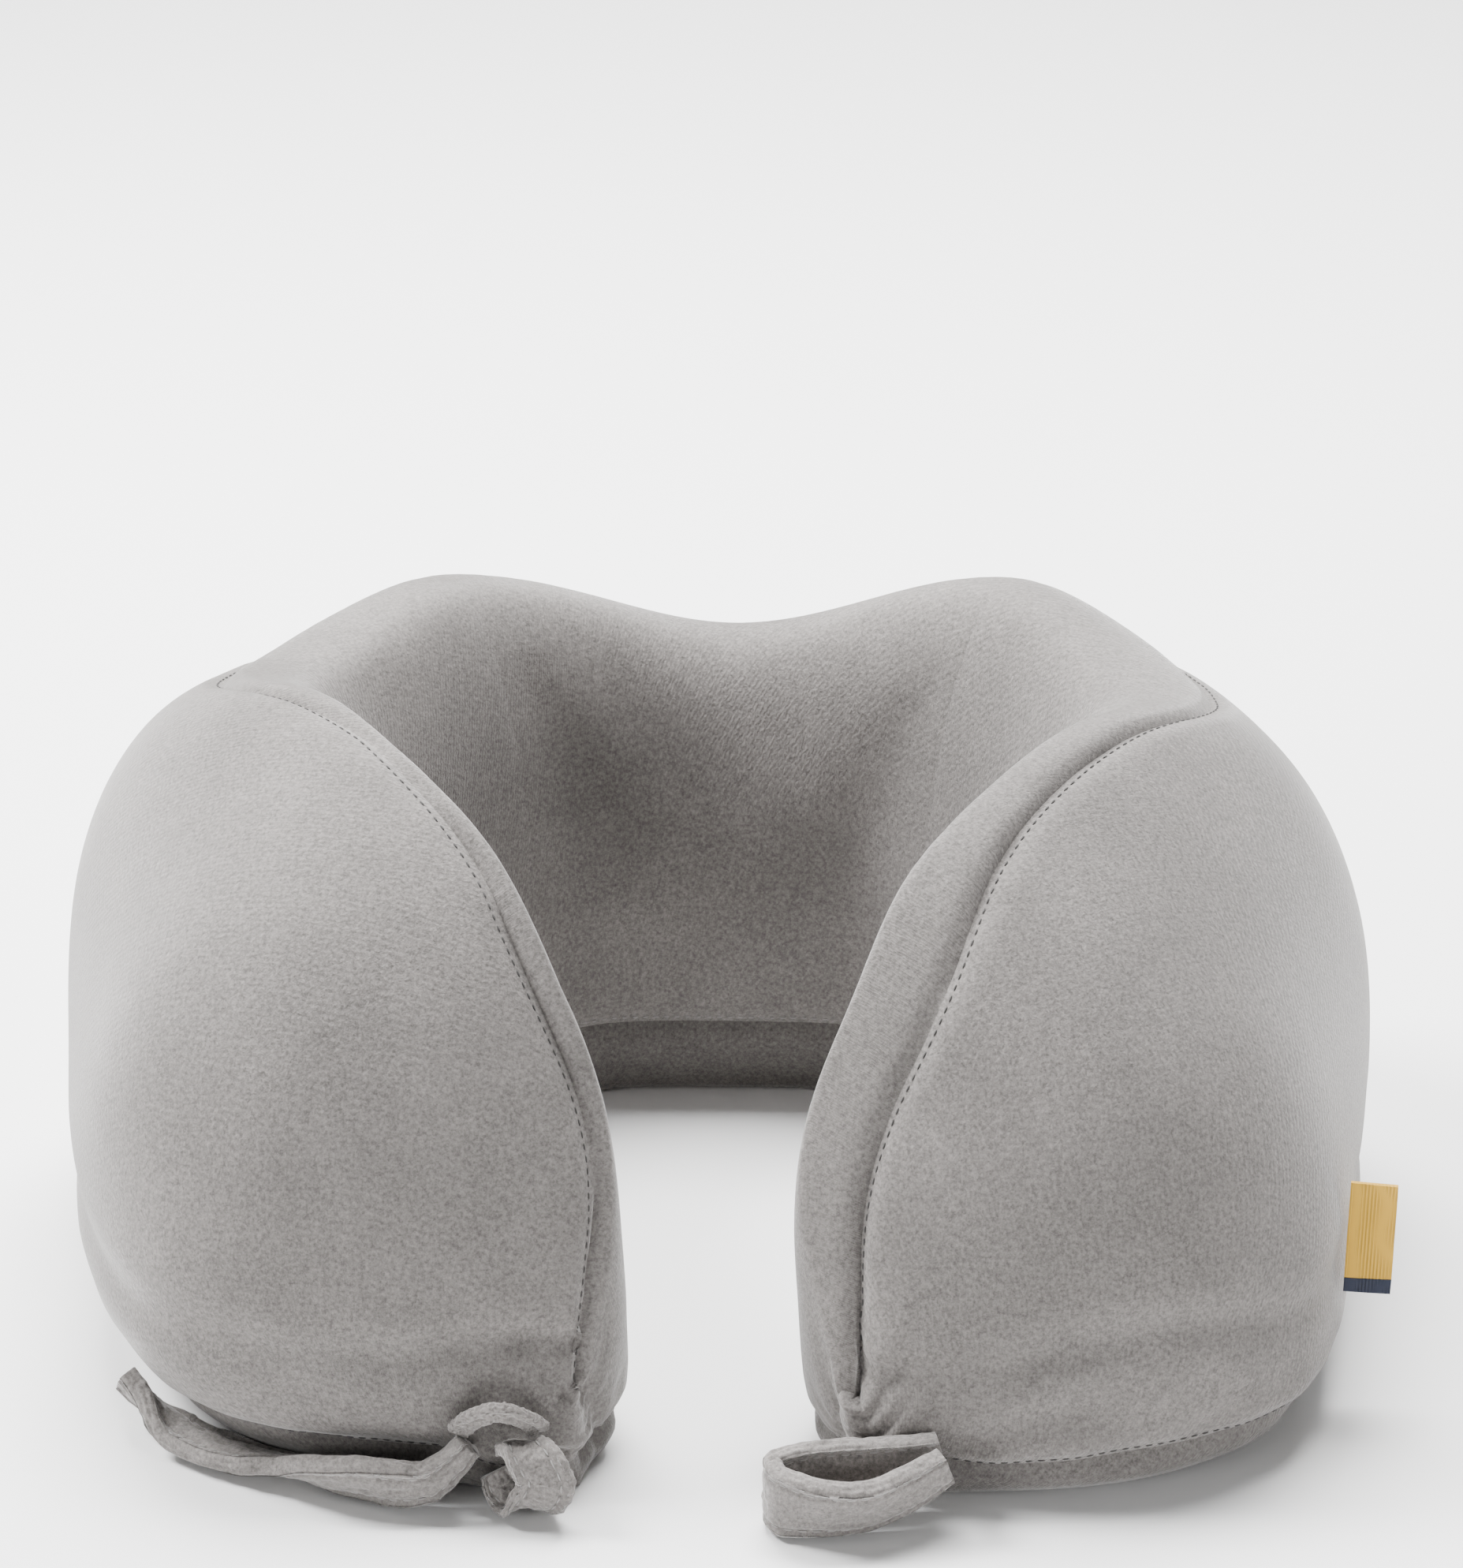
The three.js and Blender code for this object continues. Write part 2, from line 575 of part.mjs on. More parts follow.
for (const [label, up] of [["upper", 1], ["lower", -1]]) {
  const near = 0.15;
  const levels = (a, b) => (up > 0 ? [zipLevel + a, zipLevel + b] : [zipLevel - b, zipLevel - a]);
  pillow.add(backBar(`zip_tape_${label}`, tapeRadii, levels(near, tapeEdge), fullArc, charcoal));
  pillow.add(backBar(`zip_coil_${label}`, coilRadii, levels(near, coilWidth), chainArc, 0x4a4846));
}
const stopLength = 0.012; // radians
for (const [label, side] of halves) {
  const start = side * (zipHalfAngle - 0.016);
  const arc = side > 0 ? [start, start + stopLength] : [start - stopLength, start];
  const stopLevels = [zipLevel - coilWidth, zipLevel + coilWidth];
  pillow.add(backBar(`zip_stop_${label}`, coilRadii, stopLevels, arc, 0x8d8d90, 2, 0.4));
}

// The slider rides on the coils with a running clearance and carries the pull on a bridge.
const sliderClear = 0.4;
const sliderAngle = zipHalfAngle - 0.02 - sliderLength / zipRadius; // parked near the right end
const channelHalf = coilWidth + sliderClear;
const plateRadius = coilRadii[1] + sliderClear;
const sliderArc = sliderLength / zipRadius;
function sliderBody() {
  const at = (angle, radius, z) =>
    new THREE.Vector3(radius * Math.sin(angle), zipCentreY + radius * Math.cos(angle), zipLevel + z);
  const low = coilRadii[0] + 0.1;
  const rows = steps(4).map((t) => {
    const angle = sliderAngle + (t - 0.5) * sliderArc;
    const wide = (sliderWidth / 2) * (1 - 0.08 * t);
    const channel = Math.min(channelHalf, wide - sliderWall);
    return [
      at(angle, plateRadius + sliderWall, wide),
      at(angle, plateRadius + sliderWall, -wide),
      at(angle, low, -wide),
      at(angle, low, -channel),
      at(angle, plateRadius, -channel),
      at(angle, plateRadius, channel),
      at(angle, low, channel),
      at(angle, low, wide),
    ];
  });
  const faces = [];
  const n = 8;
  for (let i = 0; i < rows.length - 1; i++) {
    for (let j = 0; j < n; j++) {
      const k = (j + 1) % n;
      faces.push(...quad(rows[i][j], rows[i][k], rows[i + 1][k], rows[i + 1][j]));
    }
  }
  const corners = [[0, 1, 4], [0, 4, 5], [1, 2, 3], [1, 3, 4], [5, 6, 7], [5, 7, 0]];
  for (const [a, b, c] of corners) {
    faces.push([rows[0][a], rows[0][b], rows[0][c]]);
    faces.push([rows.at(-1)[a], rows.at(-1)[c], rows.at(-1)[b]]);
  }
  return solid("zip_slider", faces, 0x77777a, 0.35, 0.9);
}
pillow.add(sliderBody());

// The bridge is a small arch on the slider; the pull's eye hangs on it.
const bridgeRise = 2.6;
const bridgeBar = 1.1;
const plateTop = plateRadius + sliderWall;
const bridgeArc = 5 / zipRadius;
function bridge() {
  const radial = new THREE.Vector3(Math.sin(sliderAngle), Math.cos(sliderAngle), 0);
  const sideways = new THREE.Vector3(Math.cos(sliderAngle), -Math.sin(sliderAngle), 0);
  const foot = new THREE.Vector3(0, zipCentreY, zipLevel).addScaledVector(radial, plateTop + 0.3);
  const half = (bridgeArc * zipRadius) / 2;
  const at = (a, b) => foot.clone().addScaledVector(sideways, a).addScaledVector(radial, b);
  const route = new THREE.CatmullRomCurve3([
    at(-half, 0.1), at(-half, bridgeRise * 0.6), at(-half * 0.5, bridgeRise),
    at(half * 0.5, bridgeRise), at(half, bridgeRise * 0.6), at(half, 0.1),
  ]);
  const section = new THREE.Shape().absarc(0, 0, bridgeBar / 2, 0, 2 * Math.PI);
  const options = { steps: 12, curveSegments: 3, extrudePath: route };
  return named("zip_bridge", new THREE.ExtrudeGeometry(section, options), 0x77777a, 0.35, 0.9);
}
pillow.add(bridge());

// The pull's crossbar turns under the bridge. The bridge's post stands in the pull's eye.
const crossbar = 1.2;
const eyeLength = 5;
const eyeWidth = 3;
const pullRadius = plateTop + 1.15; // the crossbar's distance from the middle of the back's arc
function pullTab() {
  const half = pullWidth / 2;
  const start = -crossbar / 2;
  const end = pullLength - half;
  const outline = new THREE.Shape();
  outline.moveTo(start, -half * 0.9);
  outline.lineTo(end, -half);
  outline.absarc(end, 0, half, -Math.PI / 2, Math.PI / 2);
  outline.lineTo(start, half * 0.9);
  outline.lineTo(start, -half * 0.9);
  const eye = new THREE.Path();
  eye.moveTo(-start, -eyeWidth / 2);
  eye.lineTo(-start, eyeWidth / 2);
  eye.lineTo(-start + eyeLength - 1, eyeWidth / 2);
  eye.absarc(-start + eyeLength - 1, 0, eyeWidth / 2, Math.PI / 2, -Math.PI / 2, true);
  eye.lineTo(-start, -eyeWidth / 2);
  outline.holes.push(eye);
  const options = { depth: pullThickness, bevelEnabled: false, curveSegments: 8 };
  const tab = new THREE.ExtrudeGeometry(outline, options);
  tab.translate(0, 0, -pullThickness / 2);
  tab.rotateX(Math.PI / 2); // its length along the zip, its face away from the cover
  tab.rotateZ(-sliderAngle);
  const place = new THREE.Vector3(Math.sin(sliderAngle), Math.cos(sliderAngle), 0);
  place.multiplyScalar(pullRadius).add(new THREE.Vector3(0, zipCentreY, zipLevel));
  return tab.translate(place.x, place.y, place.z);
}
pillow.add(named("zip_pull", pullTab(), 0x6d6d70, 0.35, 0.9));

// ---------------------------------------------------------------- straps at the tips
// Foot line of the left arm where the long strap lies, a little inside the widest outline.
function underBulge(place, inset, z) {
  const slice = sliceAt(-place);
  return placeInSlice(slice, 1 - inset / slice.width, z).toArray();
}
function outOfSlice(place, rise) {
  const slice = sliceAt(-place);
  const way = placeInSlice(slice, 1, 5).sub(placeInSlice(slice, 0.5, 5)).normalize();
  return [way.x, way.y, rise];
}
const frontFace = -112 * along; // y of the arm fronts

const longWidth = strapWidth * 0.7; // the long strap is folded narrower than the loop
const ringWidth = strapWidth * 0.75;
const collarLift = ringWidth / 2; // the collar's arch clears the band that hangs under it
const loopRoot = 48 * across; // x where the right loop is sewn in
const ringRoot = -43 * across; // x where the ring hangs from its collar
// Places on the front of an arm: x from a root, y out from the arm's front face.
const loopStop = (x, out, z) => [loopRoot + x, frontFace - out, z];
const ringStop = (x, out, z) => [ringRoot + x, frontFace - out, z];
// A stop of the long strap under the arm, given by how far in its inner edge lies.
function longStop(place, innerEdge, z, rise, share = 1) {
  return [underBulge(place, innerEdge - longWidth / 2, z), outOfSlice(place, rise), share];
}

pillow.add(
  strap(
    "strap_loop_right",
    [
      [loopStop(-0.5, 2.4, 14), [0, 0, 1], 0.52],
      [loopStop(-8, 3.8, 12.4), [0, 0, 1], 0.72],
      [loopStop(-18, 4.8, 10.8), [0, 0, 1], 0.92],
      [loopStop(-28, 5.4, 9.4), [0, 0, 1]],
      [loopStop(-35.2, 8.2, 8.6), [0, 0, 1]],
      [loopStop(-34, 13.2, 8.4), [0, 0, 1]],
      [loopStop(-26, 15.8, 8.2), [0, -0.3, 1]],
      [loopStop(-16, 15, 8.4), [0, -0.4, 1], 0.9],
      [loopStop(-7, 11.6, 10.8), [-0.15, -0.3, 1], 0.72],
      [loopStop(0.5, 7.9, 14), [-0.15, -0.15, 1], 0.52],
    ],
    paleGrey,
    strapWidth,
    strapThickness,
    40,
  ),
);

pillow.add(
  strap(
    "strap_long_left",
    [
      longStop(0.745, 6.1, 12, 3, 0.7),
      longStop(0.754, 7.6, 9.2, 2, 0.85),
      longStop(0.766, 9, 6.4, 0.9),
      longStop(0.782, 10, 4, 0.2),
      longStop(0.804, 10.6, 3.3, 0.05),
      longStop(0.83, 10, 3.4, 0.1),
      longStop(0.857, 7.6, 4.4, 0.3),
      [[-82 * across, frontFace - 2, longWidth / 2 + 0.8], [-0.2, -0.6, 0.9], 1.1],
      [[-74 * across, frontFace - 4.4, longWidth / 2 + 1.4], [-0.1, -0.5, 1], 1.25],
      [[-66.5 * across, frontFace - 6, longWidth / 2 + 1.2], [0, -0.3, 1], 1.15],
      [[-60.5 * across, frontFace - 6.2, longWidth / 2 + 1.8], [-0.4, -0.2, 0.9], 0.9],
      [[-55.4 * across, frontFace - 5.2, 11], [-0.75, -0.2, 0.65], 0.64],
      [[-51.4 * across, frontFace - 4.2, 15.4], [-0.75, -0.2, 0.65], 0.52],
    ],
    paleGrey,
    longWidth,
    strapThickness,
    48,
  ),
);

pillow.add(
  strap(
    "strap_ring_left",
    [
      [ringStop(0, 3.4, 14.6), [1, -0.1, 0.1], 0.6],
      [ringStop(3.2, 6.9, 15.8), [1, -0.15, 0], 0.85],
      [ringStop(6.4, 9.6, 13.8), [1, -0.15, 0]],
      [ringStop(8.2, 10.4, 10.4), [1, -0.15, 0]],
      [ringStop(6.6, 9.6, 6), [1, -0.15, 0]],
      [ringStop(3, 7, 3.6), [1, -0.1, 0]],
      [ringStop(-0.8, 4.6, 4.8), [1, 0, 0.05], 0.8],
      [ringStop(-2.8, 3.4, 8.4), [1, 0, 0.1], 0.6],
    ],
    paleGrey,
    ringWidth,
    strapThickness * 0.8,
    30,
  ),
);

pillow.add(
  strap(
    "strap_collar_left",
    [
      [ringStop(-10.8, 2.6, collarLift + 11.8), [-0.9, -0.2, 0.4]],
      [ringStop(-7.6, 3.8, collarLift + 15.4), [-0.5, -0.3, 0.8]],
      [ringStop(-2, 4.6, collarLift + 17.8), [0, -0.3, 1]],
      [ringStop(ringWidth / 2 - 2.4, 3.8, collarLift + 15.6), [0.5, -0.3, 0.8]],
      [ringStop(ringWidth / 2 + 0.5, 2.2, collarLift + 12.2), [0.9, -0.2, 0.4]],
    ],
    paleGrey,
    collarWidth,
    collarThickness,
    16,
  ),
);

// The label: a folded flag sewn at the outer side of the right arm, standing on its short side.
const labelPlace = 0.685;
const labelLevel = 39; // height of the label's middle
function labelFlag() {
  const slice = sliceAt(labelPlace);
  const wall = placeInSlice(slice, 1, labelLevel);
  const out = wall.clone().sub(placeInSlice(slice, 0.5, labelLevel)).setZ(0).normalize();
  const flag = new THREE.BoxGeometry(labelWidth, labelThickness, labelLength, 2, 1, 4);
  const mesh = named("label", flag, 0xe0bd5c, 0.7);
  mesh.position.copy(wall).addScaledVector(out, labelWidth / 2 + 0.5);
  mesh.rotation.z = Math.atan2(out.y, out.x);
  return mesh;
}
pillow.add(labelFlag());

// ---------------------------------------------------------------- origin
// The frame's origin is under the middle of the pillow's bounding box, on the surface it rests on.
const bounds = new THREE.Box3().setFromObject(pillow);
const middle = bounds.getCenter(new THREE.Vector3());
pillow.position.set(-middle.x, -middle.y, -bounds.min.z);

export default pillow;
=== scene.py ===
"""U-shaped neck pillow: velour cover, straps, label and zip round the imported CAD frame."""

import json
import math

import bpy
import numpy as np
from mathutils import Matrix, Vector


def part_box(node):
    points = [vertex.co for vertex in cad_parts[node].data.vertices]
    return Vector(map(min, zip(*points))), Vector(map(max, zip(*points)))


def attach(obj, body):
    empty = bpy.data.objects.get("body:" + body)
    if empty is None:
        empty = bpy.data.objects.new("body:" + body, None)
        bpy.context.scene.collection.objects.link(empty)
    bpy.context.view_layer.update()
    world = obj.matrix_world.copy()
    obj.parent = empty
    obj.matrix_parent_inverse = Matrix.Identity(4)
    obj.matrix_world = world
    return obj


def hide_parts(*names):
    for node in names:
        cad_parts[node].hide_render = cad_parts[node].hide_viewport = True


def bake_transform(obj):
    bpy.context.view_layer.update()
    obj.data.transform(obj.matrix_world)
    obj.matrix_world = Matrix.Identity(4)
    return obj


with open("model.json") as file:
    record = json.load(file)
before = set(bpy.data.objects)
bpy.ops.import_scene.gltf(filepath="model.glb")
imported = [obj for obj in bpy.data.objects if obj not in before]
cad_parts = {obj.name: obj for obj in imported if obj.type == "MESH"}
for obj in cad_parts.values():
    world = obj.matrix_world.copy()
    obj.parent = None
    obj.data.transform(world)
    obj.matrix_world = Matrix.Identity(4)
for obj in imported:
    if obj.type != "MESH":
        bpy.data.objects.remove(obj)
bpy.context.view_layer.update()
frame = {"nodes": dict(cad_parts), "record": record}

MM = 0.001
rng = np.random.default_rng(7)

# ------------------------------------------------------------------ the pillow's dimensions, mm
BACK_RADIUS = 290.0
BACK_FACE = 127.0
FRONT_FACE = -112.0
ARM_SWAY = 4.6
ARM_TILT = 3.1
HEIGHT = 136.0
FLEX = 0.2
ZIP_END = 0.15
BACK_SEAM = 23.0
ARM_SEAM = 10.0
NECK_SEAM = 20.0
TIP_SEAM = 9.0
OUTER_N = 2.3
INNER_N = 2.4
FOOT_DROP = 1.12
FOOT_ANGLE = math.asin(1 / FOOT_DROP)
FOOT_RECESS = 12.0
FOOT_RAISE = 10.0
STRAP_WIDTH = 16.0
STRAP_THICK = 4.6
BACK_LEVEL = 34.0  # where the back is widest
BACK_FOOT = 30.0  # how far the back's foot is drawn in
VELOUR = 1.2
LINER_CLOTH = 0.6
LINER_INSET = 2.6  # from the outside to the liner's outer face
FOAM_INSET = 4.2
FOAM_TIP = 0.955  # place where foam and liner end
FLEX_SPAN = 48  # length of cover over which an arm bends
FLEX_LEVEL = 60.0
NECK_SWELL = 0.45  # the foam holds the neck side flatter than the cover's face

# place, inner x y, outer x y, crest height, crest place, wall lean, widest level
STATIONS = np.array(
    [
        [0.0, 0, 66, 0, 127, 113.5, 0.47, 8, 34],
        [0.12, 28, 64.5, 60.5, 121, 126, 0.45, 8, 34],
        [0.22, 46, 53, 100, 103, 132.5, 0.37, 8, 37],
        [0.32, 59, 34.5, 129, 74, 128.8, 0.29, 9, 41],
        [0.42, 66.5, 12.5, 150.5, 38.5, 129.6, 0.26, 11, 42],
        [0.52, 61, -8.5, 149, 1.5, 136, 0.19, 8, 36],
        [0.62, 47, -33, 142, -40.5, 132.5, 0.13, 4, 26],
        [0.72, 34.5, -53.5, 132.5, -77.5, 121.5, 0.09, 1.5, 18],
        [0.82, 25.5, -70, 107.5, -104, 98.5, 0.08, -1, 15],
        [0.91, 19.5, -87.5, 69.5, -111.5, 64, 0.08, -3, 13],
        [1.0, 27, -106, 35, -112, 24, 0.22, -2, 10],
    ]
)

# The CAD is moved so that its box is centred; the zip's arc centre shows by how much.
zip_joint = next(j for j in frame["record"]["behaviour"]["joints"] if j["name"] == "zip_run")
SHIFT = np.array(
    [
        zip_joint["pos_m"][0] / MM,
        zip_joint["pos_m"][1] / MM - (BACK_FACE - BACK_RADIUS),
        zip_joint["pos_m"][2] / MM - BACK_SEAM,
    ]
)


def spline(places, values, odd=False):
    """Natural cubic spline through mirrored knots, even or odd about place 0."""
    places, values = np.array(places, float), np.array(values, float)
    x = np.concatenate([-places[:0:-1], places])
    y = np.concatenate([(-1 if odd else 1) * values[:0:-1], values])
    n = len(x)
    h = np.diff(x)
    system = np.eye(n)
    right = np.zeros(n)
    for i in range(1, n - 1):
        system[i, i - 1 : i + 2] = [h[i - 1] / 6, (h[i - 1] + h[i]) / 3, h[i] / 6]
        right[i] = (y[i + 1] - y[i]) / h[i] - (y[i] - y[i - 1]) / h[i - 1]
    bend = np.linalg.solve(system, right)

    def at(s):
        k = np.clip(np.searchsorted(x, s), 1, n - 1)
        a = (x[k] - s) / h[k - 1]
        b = 1 - a
        curve = (a**3 - a) * bend[k - 1] + (b**3 - b) * bend[k]
        return a * y[k - 1] + b * y[k] + curve * h[k - 1] ** 2 / 6

    return at


PLACES = STATIONS[:, 0]
inner_x = spline(PLACES, STATIONS[:, 1], odd=True)
inner_y = spline(PLACES, STATIONS[:, 2])
crest_height = spline(PLACES, STATIONS[:, 5])
crest_place = spline(PLACES, STATIONS[:, 6])
wall_lean = spline(PLACES, STATIONS[:, 7])
widest_level = spline(PLACES, STATIONS[:, 8])
SWEEP = math.asin(STATIONS[1, 3] / BACK_RADIUS) / STATIONS[1, 0]  # angle of the back per place


def on_back(s):
    return (
        BACK_RADIUS * math.sin(s * SWEEP),
        BACK_FACE - BACK_RADIUS * (1 - math.cos(s * SWEEP)),
    )


BACK_PLACES = [0, 0.06, 0.12, 0.17]
LATER = STATIONS[PLACES > 0.2]
OUTER_PLACES = BACK_PLACES + list(LATER[:, 0])
outer_x = spline(OUTER_PLACES, [on_back(s)[0] for s in BACK_PLACES] + list(LATER[:, 3]), odd=True)
outer_y = spline(OUTER_PLACES, [on_back(s)[1] for s in BACK_PLACES] + list(LATER[:, 4]))
FOOT_PLACES = [0, 0.22, 0.42, 0.62, 0.82, 1]
foot_outer = spline(FOOT_PLACES, [30, 30, 34, 32, 22, 9])
foot_inner = spline(FOOT_PLACES, [15, 15, 19, 21, 18, 8])
SEAM_PLACES = [0, 0.12, 0.22, 0.32, 0.42, 0.52, 0.75, 1]
seam_right = spline(SEAM_PLACES, [1, 0.94, 0.72, 0.48, 0.3, 0.15, 0.14, 0.22])
seam_left = spline(SEAM_PLACES, [1, 0.94, 0.7, 0.42, 0.22, 0.07, 0.02, 0.03])
edge_break = spline([0, 0.22, 0.42, 0.55, 0.7, 1], [1, 0.92, 0.6, 0.48, 0.52, 0.45])


def ease(x, low, high):
    t = min(max((x - low) / (high - low), 0), 1)
    return t * t * (3 - 2 * t)


class Slice:
    """One upright cut of the pillow; s runs from -1 (left tip) to 1 (right tip)."""

    def __init__(self, s):
        p = abs(s)
        self.side = -1 if s < 0 else 1
        self.arm = ease(p, 0.15, 0.45)
        outer = on_back(p) if p <= ZIP_END else (outer_x(p), outer_y(p))
        self.outer = np.array([outer[0], outer[1]], float)
        self.inner = np.array([inner_x(p), inner_y(p)], float)
        self.width = float(np.hypot(*(self.outer - self.inner)))
        mean = float(crest_height(p))
        self.height = mean - self.side * ARM_TILT * ease(p, 0.3, 0.6) * min(1, mean / 120)
        over = ease(p, 0.55, 0.7) * (1 - ease(p, 0.86, 0.97)) if s < 0 else 0
        level = (BACK_LEVEL if p <= ZIP_END else float(widest_level(p))) + FOOT_RAISE * over
        self.widest = min(level, 0.6 * self.height)
        self.crest = min(max(float(crest_place(p)), 0.04), 0.9)
        self.lean = float(wall_lean(p))
        foot = (BACK_FOOT if p <= ZIP_END else float(foot_outer(p))) + FOOT_RECESS * over
        self.foot_out = min(foot, 0.5 * self.width)
        self.foot_in = min(float(foot_inner(p)), 0.4 * self.width)
        self.seam = min(max(float((seam_left if s < 0 else seam_right)(p)), 0.02), 1.3)
        self.edge = float(edge_break(p)) * (1 if s >= 0 else 1 - 0.55 * ease(p, 0.25, 0.45))
        self.seam_out = min(BACK_SEAM + (ARM_SEAM - BACK_SEAM) * self.arm, 0.7 * self.widest)
        drop = NECK_SEAM + (TIP_SEAM - NECK_SEAM) * ease(p, 0.3, 0.9)
        self.seam_in = min(drop, 0.7 * self.widest)

    def place(self, r, z):
        """Points of this cut: r is 0 on the inner wall and 1 on the outer, z the height."""
        r, z = np.asarray(r, float), np.asarray(z, float)
        rise = np.clip(z / self.height, 0, 1)
        share = r + (self.lean / self.width) * rise * (1 - r)
        plan = self.inner + (self.outer - self.inner) * share[..., None]
        sway = ARM_SWAY * self.arm * z / HEIGHT
        x = self.side * plan[..., 0] - sway
        return np.stack([x, plan[..., 1], np.maximum(z, 0)], -1)

    def foot(self, wall, angle):
        reach = self.foot_out if wall > 0 else self.foot_in
        inset = (reach / self.width) * (1 - np.cos(angle))
        z = self.widest * (1 - FOOT_DROP * np.sin(angle))
        return self.place(1 - inset if wall > 0 else inset, z)

    def foot_angle(self, level):
        return math.asin((self.widest - level) / (FOOT_DROP * self.widest))

    def outer_face(self):
        e = 2 / OUTER_N
        above = self.height - self.widest
        edge_r = self.crest + (1 - self.crest) * math.sin(self.seam) ** e
        edge_z = self.widest + above * math.cos(self.seam) ** e
        start_out, start_up = math.sin(self.edge) ** e, math.cos(self.edge) ** e
        angle = np.linspace(self.edge, math.pi / 2, 121)
        out = (np.sin(angle) ** e - start_out) / (1 - start_out)
        up = np.maximum(np.cos(angle), 0) ** e / start_up
        upper = self.place(edge_r + (1 - edge_r) * out, self.widest + (edge_z - self.widest) * up)
        lower = self.foot(1, np.linspace(0, self.foot_angle(self.seam_out), 41)[1:])
        return np.concatenate([upper, lower])

    def base(self):
        outward = self.foot(1, np.linspace(self.foot_angle(self.seam_out), FOOT_ANGLE, 25))
        inward = self.foot(0, np.linspace(FOOT_ANGLE, self.foot_angle(self.seam_in), 25))
        return np.concatenate([outward, inward])

    def neck_face(self):
        above = self.height - self.widest
        wall = self.foot(0, np.linspace(self.foot_angle(self.seam_in), 0, 31))
        angle = np.linspace(math.pi / 2, 0, 121)[1:]
        r = self.crest * (1 - np.maximum(np.sin(angle), 0) ** (2 / INNER_N))
        rise = self.place(r, self.widest + above * np.maximum(np.cos(angle), 0) ** (2 / INNER_N))
        angle = np.linspace(0, self.seam, 61)[1:]
        r = self.crest + (1 - self.crest) * np.sin(angle) ** (2 / OUTER_N)
        over = self.place(r, self.widest + above * np.cos(angle) ** (2 / OUTER_N))
        return np.concatenate([wall, rise, over])


def evenly(points, count):
    """count + 1 points at equal distances along a polyline."""
    far = np.concatenate([[0], np.cumsum(np.linalg.norm(np.diff(points, axis=0), axis=1))])
    goal = np.linspace(0, far[-1], count + 1)
    return np.stack([np.interp(goal, far, points[:, k]) for k in range(3)], -1)


# ------------------------------------------------------------------ the fine grid of the outside
OUTER_COLUMNS = 84
BASE_COLUMNS = 40
NECK_COLUMNS = 80
BASE_OUT = OUTER_COLUMNS
BASE_IN = OUTER_COLUMNS + BASE_COLUMNS
COLUMNS = BASE_IN + NECK_COLUMNS
HALF_ROWS = 190
FLEX_ROW = 40  # rows from the middle of the back to where an arm begins
flex_part = np.linspace(0, FLEX, FLEX_ROW + 1)
arm_part = FLEX + (1 - FLEX) * np.sin(np.linspace(0, math.pi / 2, HALF_ROWS - FLEX_ROW + 1))
arm_even = np.linspace(FLEX, 1, HALF_ROWS - FLEX_ROW + 1)
half_rows = np.concatenate([flex_part, (0.55 * arm_even + 0.45 * arm_part)[1:]])
ROWS = np.concatenate([-half_rows[:0:-1], half_rows])
MIDDLE = HALF_ROWS


def loops(places):
    rows = []
    for s in places:
        cut = Slice(s)
        rows.append(
            np.concatenate(
                [
                    evenly(cut.outer_face(), OUTER_COLUMNS)[:-1],
                    evenly(cut.base(), BASE_COLUMNS)[:-1],
                    evenly(cut.neck_face(), NECK_COLUMNS)[:-1],
                ]
            )
        )
    return np.array(rows)


def normals_of(grid):
    along = np.gradient(grid, axis=0)
    around = np.roll(grid, -1, axis=1) - np.roll(grid, 1, axis=1)
    n = np.cross(along, around)
    return n / np.maximum(np.linalg.norm(n, axis=2, keepdims=True), 1e-9)


surface = loops(ROWS)
outward = normals_of(surface)

# ------------------------------------------------------------------ camera, lights and floor
scene = bpy.context.scene
LENS = 100.793  # mm, on a sensor 36 mm tall
camera = bpy.data.objects.new("camera", bpy.data.cameras.new("camera"))
scene.collection.objects.link(camera)
scene.camera = camera
camera.data.sensor_width = 36
camera.data.lens = LENS
camera.data.shift_x = 0.0043
camera.data.shift_y = 0.1672
camera.location = Vector((18 + SHIFT[0], -894.3 + SHIFT[1], 512.7 + SHIFT[2])) * MM
target = Vector((SHIFT[0], SHIFT[1], 50 + SHIFT[2])) * MM
camera.rotation_euler = (target - camera.location).to_track_quat("-Z", "Y").to_euler()
camera.data.clip_start = 0.01


def area_light(name, place, aim, size, watts, colour=(1, 1, 1)):
    lamp = bpy.data.lights.new(name, "AREA")
    lamp.shape = "RECTANGLE"
    lamp.size, lamp.size_y = size
    lamp.energy = watts
    lamp.color = colour
    item = bpy.data.objects.new(name, lamp)
    scene.collection.objects.link(item)
    item.location = place
    item.rotation_euler = (Vector(aim) - Vector(place)).to_track_quat("-Z", "Y").to_euler()
    return item


area_light("light_top", (0.0, 0.5, 1.3), (0, 0.03, 0.08), (1.0, 0.6), 74)
area_light("light_left", (-1.0, 0.25, 1.1), (0.05, -0.05, 0.07), (0.45, 0.45), 52)
area_light("light_right", (1.4, -0.85, 0.35), (0, -0.05, 0.07), (0.6, 0.5), 11)
area_light("light_low", (-1.3, -1.0, 0.3), (-0.05, -0.08, 0.06), (0.6, 0.4), 12)
area_light("light_ground", (0.0, 2.0, 1.6), (0, 1.5, 0), (2.6, 1.2), 52)
world = bpy.data.worlds.new("studio")
scene.world = world
world.use_nodes = True
world.node_tree.nodes["Background"].inputs[0].default_value = (1, 1, 1, 1)
world.node_tree.nodes["Background"].inputs[1].default_value = 0.12


# ------------------------------------------------------------------ material helpers
def material(name, colour, roughness=0.9, metallic=0.0):
    m = bpy.data.materials.new(name)
    m.use_nodes = True
    shader = m.node_tree.nodes["Principled BSDF"]
    shader.inputs["Base Color"].default_value = (*colour, 1)
    shader.inputs["Roughness"].default_value = roughness
    shader.inputs["Metallic"].default_value = metallic
    return m, m.node_tree.nodes, m.node_tree.links, shader


